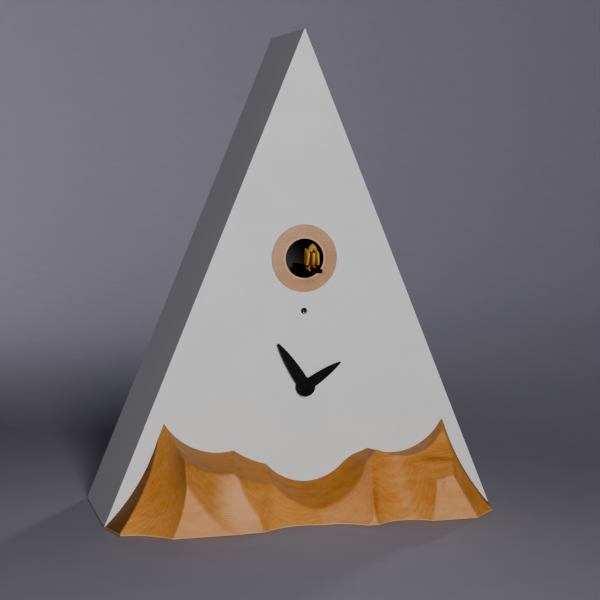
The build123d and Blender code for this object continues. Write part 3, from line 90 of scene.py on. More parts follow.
class Shade:
    """One material's node tree, with short calls for the few nodes that the finishes use."""

    def __init__(self, name: str) -> None:
        """Start a material with one principled surface.

        Args:
            name: The material's name.
        """
        self.material = bpy.data.materials.new(name)
        self.material.use_nodes = True
        self.tree = self.material.node_tree
        self.surface = self.tree.nodes["Principled BSDF"]

    def fill(self, node: bpy.types.Node, inputs: dict[str | int, object]) -> None:
        """Set a node's inputs, linking those that are sockets.

        Args:
            node: The node to fill.
            inputs: A value or a socket for each input name or number.
        """
        for key, value in inputs.items():
            socket = node.inputs[key]
            if isinstance(value, bpy.types.NodeSocket):
                self.tree.links.new(value, socket)
            elif isinstance(value, tuple) and len(value) == 3 and len(socket.default_value) == 4:
                socket.default_value = (*value, 1.0)
            else:
                socket.default_value = value

    def add(self, kind: str, inputs: dict[str | int, object], **settings: object) -> bpy.types.Node:
        """Add one node.

        Args:
            kind: The node's type, without its ShaderNode prefix.
            inputs: Values or sockets for its inputs.
            settings: Its own properties.

        Returns:
            The new node.
        """
        node = self.tree.nodes.new("ShaderNode" + kind)
        for key, value in settings.items():
            setattr(node, key, value)
        self.fill(node, inputs)
        return node

    def place(
        self, scale: Point = (1.0, 1.0, 1.0), shift: Point = (0.0, 0.0, 0.0), turn: Point = (0.0, 0.0, 0.0)
    ) -> bpy.types.NodeSocket:
        """The object's own coordinates in metres, stretched, turned and shifted.

        Args:
            scale: Factor along each axis.
            shift: Added after the factor and the turn.
            turn: Turn about each axis in radians.

        Returns:
            A vector socket.
        """
        own = self.add("TexCoord", {}).outputs["Object"]
        inputs = {"Vector": own, "Scale": scale, "Rotation": turn, "Location": shift}
        return self.add("Mapping", inputs).outputs[0]

    def noise(
        self, where: bpy.types.NodeSocket, scale: float, detail: float = 2.0, rough: float = 0.5,
        twist: float = 0.0,
    ) -> bpy.types.NodeSocket:
        """Smooth noise from 0 to 1.

        Args:
            where: Coordinates.
            scale: Features per unit.
            detail: Finer layers added.
            rough: Strength of the finer layers.
            twist: How far the pattern is bent by itself.

        Returns:
            A value socket.
        """
        inputs = {"Vector": where, "Scale": scale, "Detail": detail, "Roughness": rough, "Distortion": twist}
        return self.add("TexNoise", inputs).outputs[0]

    def bands(
        self, where: bpy.types.NodeSocket, pitch: float, along: Axis, bend: float, saw: bool = False,
        bend_scale: float = 0.6,
    ) -> bpy.types.NodeSocket:
        """Parallel bands from 0 to 1, bent by noise.

        Args:
            where: Coordinates.
            pitch: Width of one band and its gap.
            along: The axis that they are stacked along.
            bend: How far noise bends them.
            saw: True for bands that rise slowly and end sharply.
            bend_scale: How quickly the bending changes from place to place.

        Returns:
            A value socket.
        """
        inputs = {
            "Vector": where, "Scale": math.tau / (WAVE_RATE * pitch), "Distortion": bend, "Detail": 2.0,
            "Detail Scale": bend_scale, "Detail Roughness": 0.55,
        }
        profile = "SAW" if saw else "SIN"
        node = self.add("TexWave", inputs, wave_type="BANDS", bands_direction=along.value, wave_profile=profile)
        return node.outputs[1]

    def span(
        self, value: bpy.types.NodeSocket, low: float, high: float, start: float = 0.0, end: float = 1.0
    ) -> bpy.types.NodeSocket:
        """Map low to high smoothly onto start to end, held at both ends.

        Args:
            value: What is mapped.
            low: Value that becomes start.
            high: Value that becomes end.
            start: Result at low.
            end: Result at high.

        Returns:
            A value socket.
        """
        inputs = {"Value": value, "From Min": low, "From Max": high, "To Min": start, "To Max": end}
        return self.add("MapRange", inputs, interpolation_type="SMOOTHSTEP").outputs[0]

    def gloss(self, pattern: bpy.types.NodeSocket, smooth: float, rough: float) -> bpy.types.NodeSocket:
        """Roughness that follows the middle of a noise pattern.

        Args:
            pattern: The noise.
            smooth: Roughness where the noise is low.
            rough: Roughness where it is high.

        Returns:
            A value socket.
        """
        return self.span(pattern, 0.3, 0.7, smooth, rough)

    def calc(self, kind: str, first: object, second: object = 0.0, clamp: bool = False) -> bpy.types.NodeSocket:
        """One sum on two values.

        Args:
            kind: The operation's name.
            first: Left value or socket.
            second: Right value or socket.
            clamp: Whether the result is held between 0 and 1.

        Returns:
            A value socket.
        """
        return self.add("Math", {0: first, 1: second}, operation=kind, use_clamp=clamp).outputs[0]

    def blend(self, factor: object, first: object, second: object, kind: str = "MIX") -> bpy.types.NodeSocket:
        """Mix two colours.

        Args:
            factor: Share of the second.
            first: Colour or socket.
            second: Colour or socket.
            kind: How they are mixed.

        Returns:
            A colour socket.
        """
        node = self.add("Mix", {0: factor}, data_type="RGBA", blend_type=kind)
        self.fill(node, {MIX_FIRST: first, MIX_SECOND: second})
        return node.outputs[MIX_RESULT]

    def distance(self, centre: Point, flatten: Point = (1.0, 1.0, 1.0)) -> bpy.types.NodeSocket:
        """Distance in metres from a point, each axis weighted.

        Args:
            centre: The point.
            flatten: Weight of each axis.

        Returns:
            A value socket.
        """
        shift = tuple(-c * f for c, f in zip(centre, flatten))
        where = self.place(scale=flatten, shift=shift)
        return self.add("VectorMath", {0: where}, operation="LENGTH").outputs["Value"]

    def attribute(self, name: str) -> bpy.types.NodeSocket:
        """A number stored on the piece's points."""
        return self.add("Attribute", {}, attribute_name=name).outputs["Fac"]

    def relief(self, height: bpy.types.NodeSocket, depth: float, strength: float = 1.0) -> None:
        """Raise the surface's normal by a height pattern, on top of any relief given before.

        Args:
            height: Pattern from 0 to 1.
            depth: Its real depth in metres.
            strength: How much of it shows.
        """
        inputs = {"Height": height, "Distance": depth, "Strength": strength}
        before = self.surface.inputs["Normal"]
        if before.is_linked:
            inputs["Normal"] = before.links[0].from_socket
        self.fill(self.surface, {"Normal": self.add("Bump", inputs).outputs[0]})

    def finish(self, colour: object, roughness: object, **rest: object) -> None:
        """Set the surface's colour, roughness and any other inputs.

        Args:
            colour: Base colour or socket.
            roughness: Roughness or socket.
            rest: Other inputs, their names in lower case with underscores.
        """
        self.fill(self.surface, {"Base Color": colour, "Roughness": roughness})
        names = {i.name.lower().replace(" ", "_"): i.name for i in self.surface.inputs}
        self.fill(self.surface, {names[key]: value for key, value in rest.items()})


# ---------------------------------------------------------------- finishes
@dataclass(frozen=True)
class Finish:
    """A named surface finish that can build its own material."""

    name: str

    def paint(self, shade: Shade) -> None:
        """Add the finish's nodes to a material."""
        raise NotImplementedError

    def material(self) -> bpy.types.Material:
        """Build the finish's material.

        Returns:
            The material, named after the finish.
        """
        shade = Shade(self.name)
        self.paint(shade)
        return shade.material


@dataclass(frozen=True)
class Lacquer(Finish):
    """Sprayed satin lacquer on boards: a faint orange peel, soft mottling and a painted highlight that pales the
    sloping edges. An edge is where the distance across reaches half the base less the slope's share of the height."""

    colour: Colour = (0.70, 0.70, 0.695)
    shadow_colour: Colour = (0.645, 0.65, 0.65)
    speck_and_edge_highlight: Colour = (0.80, 0.80, 0.79)
    half_base: float = 175.0 * MM
    foot: float = 1.0 * MM
    slope: float = 175.0 / 420.5
    edge_highlight_width: float = 1.4 * MM
    roughness: tuple[float, float] = (0.46, 0.56)

    def paint(self, shade: Shade) -> None:
        """Mottle the colour, paint a highlight along the sloping edges and add the peel.

        Args:
            shade: The material's node tree.
        """
        cloud = shade.noise(shade.place(), 14.0, 3.0, 0.6)
        speck = shade.noise(shade.place(shift=(3.0, 1.0, 2.0)), 620.0, 2.0, 0.6)
        colour = shade.blend(shade.span(cloud, 0.3, 0.7), self.shadow_colour, self.colour)
        colour = shade.blend(shade.span(speck, 0.35, 0.7, 0.0, 0.22), colour, self.speck_and_edge_highlight)
        # painted highlight: the sloping edges are blended towards the pale colour across the highlight's width
        split = shade.add("SeparateXYZ", {0: shade.place()})
        rise = shade.calc("MULTIPLY", shade.calc("SUBTRACT", split.outputs[2], self.foot), self.slope)
        reach = shade.calc("ADD", shade.calc("ABSOLUTE", split.outputs[0]), rise)
        margin = shade.calc("SUBTRACT", self.half_base, reach)
        colour = shade.blend(shade.span(margin, 0.0, self.edge_highlight_width, 0.7, 0.0), colour, self.speck_and_edge_highlight)
        gloss = shade.gloss(shade.noise(shade.place(), 60.0, 3.0), *self.roughness)
        shade.relief(shade.noise(shade.place(), 420.0, 2.0, 0.5), 0.05 * MM, 0.55)
        shade.relief(speck, 0.02 * MM, 0.4)
        shade.finish(colour, gloss, specular_ior_level=0.35)


@dataclass(frozen=True)
class Mark:
    """A place on the timber that the finish marks, for grain, painted shade and painted highlight alike: its centre,
    how much each axis counts, its reach and its strength.
    """

    centre: Point
    weights: Point
    reach: float
    share: float = 1.0


@dataclass(frozen=True)
class Timber(Finish):
    """Oiled beech: growth layers, slow patches of colour, short dark flecks and fine pores along the grain."""

    pale: Colour = (0.61, 0.256, 0.052)
    deep: Colour = (0.41, 0.130, 0.012)
    fleck_colour: Colour = (0.22, 0.058, 0.005)
    layers: Axis = Axis.DEPTH
    layer_pitch: float = 2.6 * MM
    layer_bend: float = 5.0
    contrast: float = 0.5
    fleck_length: float = 2.6 * MM
    fleck_width: float = 0.42 * MM
    roughness: float = 0.46
    glint: float = 0.10
    carved: bool = False
    lip_colour: Colour = (0.74, 0.46, 0.25)
    # painted highlight colour for lit cuts and the block's face, and painted shade colour for cuts turned from the
    # light
    painted_sheen_colour: Colour = (0.68, 0.365, 0.190)
    step_colour: Colour = (0.78, 0.47, 0.28)
    painted_shade_colour: Colour = (0.33, 0.31, 0.18)
    arris_colour: Colour = (0.36, 0.13, 0.028)
    streak_and_shade_colour: Colour = (0.30, 0.085, 0.012)
    lip_share: float = 0.55
    foot_share: float = 0.75
    # shares of the painted highlight and of the painted shade on the bowl's unlit parts
    painted_sheen_share: float = 0.48
    outer_shade_share: float = 0.34
    step_share: float = 0.34
    step_pitch: float = 0.26 * MM
    # the big bowl's lit part: tool rings and painted highlight there, painted shade on the rest of the ringed cuts
    bowl: Mark = Mark((-64.0 * MM, -68.0 * MM, 27.0 * MM), (1.0, 0.2, 0.70), 33.0 * MM)
    # a dark growth streak, two marks of painted shade on the right bowl's shaded flanks, and a knot
    streaks_shade_and_knot: tuple[Mark, ...] = (
        Mark((112.0 * MM, -58.0 * MM, 50.5 * MM), (0.28, 0.1, 1.6), 6.0 * MM, 0.75),
        Mark((109.5 * MM, -68.0 * MM, 33.0 * MM), (1.6, 0.1, 0.45), 5.0 * MM, 0.50),
        Mark((51.5 * MM, -72.0 * MM, 22.0 * MM), (1.1, 0.1, 0.35), 6.0 * MM, 0.50),
        Mark((-140.4 * MM, -68.0 * MM, 25.6 * MM), (0.7, 0.1, 1.3), 1.7 * MM, 1.0),
    )

    def paint(self, shade: Shade) -> None:
        """Lay layers, patches, flecks and pores, then the carving's marks, painted shade and highlight, or the ring's
        paler lip.

        Args:
            shade: The material's node tree.
        """
        own = shade.place()
        along = (1.0 / self.fleck_length, 1.0 / self.fleck_width, 1.0 / self.fleck_width)
        layers = shade.bands(own, self.layer_pitch, self.layers, self.layer_bend, saw=True)
        patches = shade.noise(shade.place(scale=(9.0, 22.0, 22.0)), 1.0, 3.0, 0.55, 0.6)
        figure = shade.noise(shade.place(scale=(38.0, 160.0, 160.0)), 1.0, 3.0, 0.6, 0.4)
        flecks = shade.noise(shade.place(scale=along), 1.0, 1.0, 0.4)
        pores = shade.noise(shade.place(scale=tuple(2.1 * a for a in along), shift=(7.0, 3.0, 5.0)), 1.0, 1.0)
        share = shade.calc("MULTIPLY", shade.span(layers, 0.05, 0.95), self.contrast * 0.45)
        share = shade.calc("ADD", share, shade.span(patches, 0.32, 0.68, 0.0, 0.46))
        share = shade.calc("ADD", share, shade.span(figure, 0.35, 0.72, -0.12, 0.24), clamp=True)
        colour = shade.blend(share, self.pale, self.deep)
        colour = shade.blend(shade.span(flecks, 0.62, 0.76, 0.0, 0.55), colour, self.fleck_colour)
        colour = shade.blend(shade.span(pores, 0.58, 0.80, 0.0, 0.30), colour, self.fleck_colour)
        if self.carved:
            colour = self.carving_marks(shade, colour)
        else:
            lip = shade.calc("MULTIPLY", shade.attribute("lip"), self.lip_share)
            colour = shade.blend(lip, colour, self.lip_colour)
        shade.relief(layers, 0.03 * MM, 0.35)
        shade.relief(flecks, 0.04 * MM, 0.35)
        gloss = shade.gloss(figure, self.roughness - 0.04, self.roughness + 0.08)
        shade.finish(colour, gloss, specular_ior_level=self.glint)

    def carving_marks(self, shade: Shade, colour: bpy.types.NodeSocket) -> bpy.types.NodeSocket:
        """Paint shade onto cuts turned from the light and highlight onto lit ones, draw the cutter's steps, darken
        the ridges' edges and place the streaks, the painted shade marks and the knot.

        Args:
            shade: The material's node tree.
            colour: The plain timber's colour.

        Returns:
            The carved timber's colour.
        """
        steps = shade.bands(shade.place(turn=(0.2, 0.0, -0.2)), self.step_pitch, Axis.DEPTH, 2.5, bend_scale=0.06)
        ringed_cut = shade.attribute("ringed")
        ringed = shade.calc("MULTIPLY", ringed_cut, self.nearness(shade, self.bowl, 0.25))
        # painted highlight: the bowl's lit part, the lit cuts and the block's face are blended towards pale pink
        painted_sheen = shade.calc("ADD", ringed, shade.attribute("sheen_painted"))
        painted_sheen = shade.calc("MULTIPLY", painted_sheen, self.painted_sheen_share, clamp=True)
        colour = shade.blend(painted_sheen, colour, self.painted_sheen_colour)
        # painted shade: the ringed cuts away from the bowl's lit part are darkened
        outer = shade.calc("SUBTRACT", ringed_cut, ringed, clamp=True)
        outer = shade.calc("MULTIPLY", outer, self.outer_shade_share)
        colour = shade.blend(outer, colour, self.painted_shade_colour, "MULTIPLY")
        strength = shade.calc("MULTIPLY", shade.span(steps, 0.25, 0.85), ringed)
        colour = shade.blend(shade.calc("MULTIPLY", strength, self.step_share), colour, self.step_colour)
        shade.relief(shade.calc("MULTIPLY", steps, ringed_cut), 0.03 * MM, 0.3)
        # painted shade: top cuts and end strips turned from the light are darkened
        colour = shade.blend(shade.attribute("shade_painted"), colour, self.painted_shade_colour, "MULTIPLY")
        colour = shade.blend(shade.attribute("arris"), colour, self.arris_colour)
        foot = shade.calc("MULTIPLY", shade.attribute("foot"), self.foot_share)
        colour = shade.blend(foot, colour, self.lip_colour)
        smear = shade.noise(shade.place(scale=(30.0, 60.0, 210.0)), 1.0, 3.0, 0.6, 0.8)
        smear = shade.span(smear, 0.38, 0.62, 0.25, 1.0)
        # growth streak and knot, and painted shade on the right bowl's flanks
        for mark in self.streaks_shade_and_knot:
            near = shade.calc("MULTIPLY", self.nearness(shade, mark, 0.3), smear)
            colour = shade.blend(near, colour, self.streak_and_shade_colour)
        return colour

    @staticmethod
    def nearness(shade: Shade, mark: Mark, core: float) -> bpy.types.NodeSocket:
        """A mark's strength round its centre, falling smoothly to nothing at its reach.

        Args:
            shade: The material's node tree.
            mark: The mark.
            core: Share of the reach within which the mark has its full strength.

        Returns:
            A value socket.
        """
        away = shade.distance(mark.centre, mark.weights)
        return shade.span(away, core * mark.reach, mark.reach, mark.share, 0.0)


@dataclass(frozen=True)
class Moulding(Finish):
    """Moulded plastic, rubber or sleeving: fine spark-eroded grain, faint flow marks and handling gloss."""

    colour: Colour = (0.02, 0.02, 0.02)
    lift: Colour = (0.05, 0.05, 0.05)
    roughness: float = 0.5
    grain: float = 0.35 * MM
    depth: float = 0.02 * MM
    sheen: float = 0.0
    glint: float = 0.5

    def paint(self, shade: Shade) -> None:
        """Mix two tones by slow flow marks and raise the grain.

        Args:
            shade: The material's node tree.
        """
        flow = shade.noise(shade.place(scale=(1.0, 1.0, 2.4)), 45.0, 3.0, 0.6, 0.5)
        pebble = shade.noise(shade.place(), 1.0 / self.grain, 1.0, 0.4)
        dust = shade.noise(shade.place(shift=(2.0, 5.0, 1.0)), 900.0, 2.0, 0.7)
        colour = shade.blend(shade.span(flow, 0.35, 0.75, 0.0, 0.5), self.colour, self.lift)
        colour = shade.blend(shade.span(dust, 0.62, 0.8, 0.0, 0.25), colour, self.lift)
        gloss = shade.gloss(flow, self.roughness - 0.06, self.roughness + 0.08)
        shade.relief(pebble, self.depth, 0.8)
        shade.finish(colour, gloss, sheen_weight=self.sheen, specular_ior_level=self.glint)


@dataclass(frozen=True)
class Metal(Finish):
    """Worked metal: brushed or drawn lines, stains, and a slightly darker tarnish in patches."""

    colour: Colour = (0.55, 0.56, 0.58)
    tarnish: Colour = (0.32, 0.33, 0.35)
    roughness: float = 0.32
    brush: Point = (260.0, 2600.0, 2600.0)
    metallic: float = 1.0

    def paint(self, shade: Shade) -> None:
        """Draw the brushed lines and the tarnish.

        Args:
            shade: The material's node tree.
        """
        lines = shade.noise(shade.place(scale=self.brush), 1.0, 2.0, 0.6)
        patches = shade.noise(shade.place(), 130.0, 4.0, 0.62)
        colour = shade.blend(shade.span(patches, 0.45, 0.75, 0.0, 0.6), self.colour, self.tarnish)
        colour = shade.blend(shade.span(lines, 0.3, 0.7, 0.0, 0.25), colour, self.tarnish)
        gloss = shade.gloss(lines, self.roughness - 0.06, self.roughness + 0.10)
        shade.relief(lines, 0.01 * MM, 0.5)
        shade.finish(colour, gloss, metallic=self.metallic)


@dataclass(frozen=True)
class Fibre(Finish):
    """Felt, paper or fibreboard: tangled fibres in two tones."""

    colour: Colour = (0.18, 0.18, 0.19)
    lift: Colour = (0.30, 0.30, 0.31)
    fibre: float = 0.5 * MM
    roughness: float = 0.9
    sheen: float = 0.3

    def paint(self, shade: Shade) -> None:
        """Tangle two fibre patterns that run across each other.

        Args:
            shade: The material's node tree.
        """
        fine = 1.0 / self.fibre
        long = 0.3 * fine
        across = shade.noise(shade.place(scale=(long, fine, fine)), 1.0, 2.0, 0.6, 1.2)
        upright = shade.noise(shade.place(scale=(fine, fine, long)), 1.0, 2.0, 0.6, 1.2)
        tangle = shade.calc("MAXIMUM", across, upright)
        colour = shade.blend(shade.span(tangle, 0.4, 0.75), self.colour, self.lift)
        shade.relief(tangle, 0.25 * self.fibre, 0.7)
        shade.finish(colour, self.roughness, sheen_weight=self.sheen)


@dataclass(frozen=True)
class Gilding(Finish):
    """Hand-painted gold on carved wood: brush strokes, rubbed highlights, dark glaze with painted shade in the
    grooves, and redder gold painted as shade where the sides turn from the light.
    """

    colour: Colour = (0.47, 0.265, 0.008)
    rubbed: Colour = (0.66, 0.385, 0.030)
    warm: Colour = (0.40, 0.120, 0.002)
    glaze_and_shade: Colour = (0.050, 0.004, 0.001)
    roughness: float = 0.38

    def paint(self, shade: Shade) -> None:
        """Brush the gold on, rub it, paint redder gold as shade and darken the grooves with glaze and painted shade,
        by the piece's own values.

        Args:
            shade: The material's node tree.
        """
        strokes = shade.noise(shade.place(scale=(1600.0, 1600.0, 300.0)), 1.0, 3.0, 0.6)
        patches = shade.noise(shade.place(), 330.0, 3.0, 0.6)
        colour = shade.blend(shade.span(patches, 0.35, 0.7), self.colour, self.rubbed)
        # painted shade: redder gold where the piece's value says the side is turned from the light
        colour = shade.blend(shade.attribute("warmth"), colour, self.warm)
        colour = shade.blend(shade.span(strokes, 0.55, 0.8, 0.0, 0.35), colour, self.glaze_and_shade)
        # glaze and painted shade in the grooves
        colour = shade.blend(shade.attribute("groove"), colour, self.glaze_and_shade)
        gloss = shade.gloss(strokes, self.roughness - 0.06, self.roughness + 0.12)
        shade.relief(strokes, 0.05 * MM, 0.6)
        shade.finish(colour, gloss, metallic=0.1, specular_ior_level=0.3, coat_weight=0.08, coat_roughness=0.25)


@dataclass(frozen=True)
class Resin(Finish):
    """Dark clear resin of a light sensor, with a painted glint: a pale disc low inside its dome."""

    colour: Colour = (0.003, 0.003, 0.0035)
    glint_colour: Colour = (0.90, 0.90, 0.92)
    glint_spot: Point = (0.0, 0.0, 0.0)
    glint_radius: float = 0.72 * MM
    lift: float = 2.2

    def paint(self, shade: Shade) -> None:
        """Paint the glint's pale disc under a glossy dark skin.

        Args:
            shade: The material's node tree.
        """
        swirl = shade.noise(shade.place(), 700.0, 2.0)
        paler = tuple(self.lift * c for c in self.colour)
        dark = shade.blend(shade.span(swirl, 0.3, 0.7), self.colour, paler)
        # painted glint: a pale disc low in the dome
        near = shade.distance(self.glint_spot, (1.0, 0.25, 1.0))
        inside = shade.span(near, 0.45 * self.glint_radius, self.glint_radius, 1.0, 0.0)
        shade.finish(shade.blend(inside, dark, self.glint_colour), 0.15, specular_ior_level=0.12)


@dataclass(frozen=True)
class Laminate(Finish):
    """Circuit board: green mask over glass weave, with tinned pads on a regular grid."""

    colour: Colour = (0.012, 0.105, 0.040)
    track: Colour = (0.022, 0.175, 0.065)
    pad: Colour = (0.62, 0.60, 0.55)
    pitch: float = 2.54 * MM

    def paint(self, shade: Shade) -> None:
        """Draw the tracks under the mask and the pads through it.

        Args:
            shade: The material's node tree.
        """
        tracks = shade.bands(shade.place(), self.pitch, Axis.HEIGHT, 0.6)
        weave = shade.noise(shade.place(scale=(1500.0, 1500.0, 400.0)), 1.0, 1.0)
        cells = shade.add("TexVoronoi", {"Vector": shade.place(), "Scale": 1.0 / self.pitch, "Randomness": 0.25})
        pads = shade.span(cells.outputs["Distance"], 0.16, 0.20, 1.0, 0.0)
        colour = shade.blend(shade.span(tracks, 0.55, 0.65), self.colour, self.track)
        colour = shade.blend(shade.span(weave, 0.5, 0.7, 0.0, 0.3), colour, self.track)
        colour = shade.blend(pads, colour, self.pad)
        shade.relief(shade.span(tracks, 0.5, 0.7), 0.03 * MM, 0.6)
        shade.finish(colour, shade.gloss(weave, 0.28, 0.40), metallic=shade.calc("MULTIPLY", pads, 0.8))


@dataclass(frozen=True)
class Winding(Finish):
    """Enamelled copper wire, wound in close turns."""

    colour: Colour = (0.52, 0.19, 0.07)
    gap: Colour = (0.10, 0.025, 0.010)
    pitch: float = 0.28 * MM

    def paint(self, shade: Shade) -> None:
        """Stack the turns along the height and shade the gaps between them.

        Args:
            shade: The material's node tree.
        """
        turns = shade.bands(shade.place(), self.pitch, Axis.HEIGHT, 0.3)
        colour = shade.blend(shade.span(turns, 0.05, 0.5), self.gap, self.colour)
        shade.relief(turns, 0.12 * MM, 0.9)
        gloss = shade.gloss(shade.noise(shade.place(), 500.0, 2.0), 0.25, 0.38)
        shade.finish(colour, gloss, metallic=0.85, coat_weight=0.4)


@dataclass(frozen=True)
class Jacket(Finish):
    """Plain printed jacket of a dry cell: a dark body with a metallic band towards one end."""

    colour: Colour = (0.020, 0.075, 0.045)
    band: Colour = (0.60, 0.42, 0.20)
    scuff: Colour = (0.5, 0.5, 0.5)
    border: float = 12.0 * MM

    def paint(self, shade: Shade) -> None:
        """Split the two tones across the cell's length and add handling scuffs.

        Args:
            shade: The material's node tree.
        """
        across = shade.add("SeparateXYZ", {0: shade.place()}).outputs[0]
        end = shade.span(across, self.border, self.border + 0.3 * MM)
        scuffs = shade.noise(shade.place(scale=(400.0, 1400.0, 1400.0)), 1.0, 3.0, 0.7)
        colour = shade.blend(end, self.colour, self.band)
        colour = shade.blend(shade.span(scuffs, 0.66, 0.8, 0.0, 0.3), colour, self.scuff)
        gloss = shade.gloss(scuffs, 0.22, 0.36)
        shade.finish(colour, gloss, metallic=shade.calc("MULTIPLY", end, 0.7), coat_weight=0.3)


def finishes(sensor: Point) -> dict[str, Finish]:
    """One finish for each of the record's material slots.

    Args:
        sensor: Centre of the painted glint low in the light sensor's dome, in metres.

    Returns:
        The finish of each slot.
    """
    return {
        "lacquer_white": Lacquer("white_lacquer"),
        "beech_oiled": Timber("oiled_beech", carved=True),
        "beech_pale": Timber(
            "pale_beech", pale=(0.53, 0.300, 0.165), deep=(0.42, 0.222, 0.112), fleck_colour=(0.27, 0.135, 0.062),
            layers=Axis.HEIGHT, layer_pitch=3.4 * MM, layer_bend=4.0, contrast=0.45, roughness=0.5, glint=0.2,
        ),
        "raw_mdf": Fibre("fibreboard", (0.30, 0.19, 0.11), (0.42, 0.29, 0.18), 0.9 * MM, 0.85, 0.0),
        # far darker than the cover's copy of the same black plastic: painted shade, so the parts seen in the bird's
        # opening stay black
        "black_plastic": Moulding(
            "black_moulding", (0.0015, 0.0015, 0.0015), (0.004, 0.004, 0.0045), 0.62, 0.45 * MM, glint=0.015,
        ),
        COVER_SLOT: Moulding(
            "cover_moulding", (0.014, 0.014, 0.015), (0.026, 0.026, 0.028), 0.46, 0.5 * MM, 0.03 * MM, glint=0.45,
        ),
        "grey_plastic": Moulding("grey_moulding", (0.16, 0.17, 0.18), (0.22, 0.23, 0.24), 0.48, 0.5 * MM),
        "white_plastic": Moulding("acetal", (0.68, 0.68, 0.64), (0.76, 0.76, 0.73), 0.36, 0.7 * MM, 0.01 * MM),
        "black_hand": Moulding(
            "black_enamel", (0.002, 0.002, 0.002), (0.004, 0.004, 0.004), 0.55, 0.25 * MM, 0.008 * MM, glint=0.08,
        ),
        "brass": Metal("turned_brass", (0.72, 0.50, 0.20), (0.42, 0.26, 0.09), 0.28, (900.0, 2500.0, 900.0)),
        "steel": Metal("zinc_steel"),
        "bird_gold": Gilding("gilded_wood"),
        "bird_orange": Gilding("painted_feet", (0.42, 0.12, 0.015), (0.60, 0.22, 0.05)),
        "bird_mouth": Gilding("painted_beak", (0.40, 0.17, 0.012), (0.55, 0.30, 0.05), (0.060, 0.004, 0.002)),
        "clear_resin": Resin("sensor_resin", glint_spot=sensor),
        "copper_wire": Winding("copper_winding"),
        "magnet_black": Metal("ferrite", (0.05, 0.05, 0.055), (0.025, 0.025, 0.028), 0.6, metallic=0.3),
        "paper_cone": Fibre("paper_cone", (0.016, 0.016, 0.017), (0.04, 0.04, 0.04), 0.7 * MM, 0.8, 0.1),
        "board_green": Laminate("green_laminate"),
        "cell_wrap": Jacket("cell_jacket"),
        "felt_grey": Fibre("grey_felt", (0.07, 0.07, 0.075), (0.15, 0.15, 0.16), 0.5 * MM, 0.95, 0.4),
        "rubber_black": Moulding("rubber", (0.014, 0.014, 0.014), (0.03, 0.03, 0.03), 0.8, 0.6 * MM, 0.03 * MM, 0.2),
        "lead_sleeve": Moulding("red_sleeving", (0.36, 0.022, 0.016), (0.45, 0.05, 0.04), 0.42, 0.9 * MM),
    }


# ---------------------------------------------------------------- mesh helpers
def grid_faces(rows: int, columns: int, round_rows: bool = False, round_columns: bool = False) -> Array:
    """Quads that join a grid of points stored row by row.

    Args:
        rows: Points along the first parameter.
        columns: Points along the second parameter.
        round_rows: Whether the last row joins the first.
        round_columns: Whether the last column joins the first.

    Returns:
        Point numbers, four to a face.
    """
    i = np.arange(rows if round_rows else rows - 1)[:, None]
    j = np.arange(columns if round_columns else columns - 1)[None, :]
    i_next, j_next = (i + 1) % rows, (j + 1) % columns
    corners = (i * columns + j, i_next * columns + j, i_next * columns + j_next, i * columns + j_next)
    return np.stack([np.broadcast_to(c, (i.size, j.size)) for c in corners], -1).reshape(-1, 4)


def make_piece(
    name: str, points: Array, faces: Sequence[Sequence[int]], values: dict[str, Array]
) -> bpy.types.Object:
    """Make a smooth mesh object from points in millimetres, with its seams merged and its faces outwards.

    Args:
        name: The piece's name.
        points: One row for each point.
        faces: Point numbers of each face.
        values: Numbers to store on the points, by attribute name.

    Returns:
        The new object, at the origin.
    """
    mesh = bpy.data.meshes.new(name)
    mesh.from_pydata((points * MM).tolist(), [], [list(map(int, f)) for f in faces])
    for key, numbers in values.items():
        layer = mesh.attributes.new(key, "FLOAT", "POINT")
        layer.data.foreach_set("value", np.ascontiguousarray(numbers, np.float32).ravel())
    tidy_mesh(mesh)
    piece = bpy.data.objects.new(name, mesh)
    bpy.context.scene.collection.objects.link(piece)
    return piece


def tidy_mesh(mesh: bpy.types.Mesh) -> None:
    """Merge doubled points, drop empty faces, turn all faces outwards and shade them smooth.

    Args:
        mesh: The mesh to tidy.
    """
    work = bmesh.new()
    work.from_mesh(mesh)
    bmesh.ops.remove_doubles(work, verts=work.verts, dist=SAME_PLACE)
    bmesh.ops.dissolve_degenerate(work, edges=work.edges, dist=EMPTY_EDGE)
    bmesh.ops.recalc_face_normals(work, faces=work.faces)
    for face in work.faces:
        face.smooth = True
    work.to_mesh(mesh)
    work.free()


def softened_copy(
    node: str, name: str, width: float, where: Callable[[Array], Array] | None = None
) -> bpy.types.Object:
    """Copy a CAD node with its sharp edges rounded, to stand for it.

    Args:
        node: The CAD node.
        name: The copy's name.
        width: The rounding's width in metres.
        where: Says which points, in millimetres, may carry a rounded edge; all may if it is left out.

    Returns:
        The copy, at the origin.
    """
    mesh = frame["nodes"][node].data.copy()
    mesh.name = name
    tidy_mesh(mesh)
    work = bmesh.new()
    work.from_mesh(mesh)
    bmesh.ops.dissolve_limit(work, angle_limit=FLAT_ANGLE, verts=work.verts, edges=work.edges)
    weight = work.edges.layers.float.new("bevel_weight_edge")
    spots = np.array([v.co for v in work.verts]) / MM
    allowed = np.ones(len(spots), bool) if where is None else where(spots)
    work.verts.index_update()
    for edge in work.edges:
        sharp = len(edge.link_faces) == 2 and edge.calc_face_angle() > SHARP_ANGLE
        edge[weight] = float(sharp and allowed[edge.verts[0].index] and allowed[edge.verts[1].index])
        edge.smooth = not sharp
    work.to_mesh(mesh)
    work.free()
    piece = bpy.data.objects.new(name, mesh)
    bpy.context.scene.collection.objects.link(piece)
    bevel = piece.modifiers.new("rounded_edges", "BEVEL")
    bevel.limit_method = "WEIGHT"
    bevel.width = width
    bevel.segments = 3
    bevel.harden_normals = True
    return piece


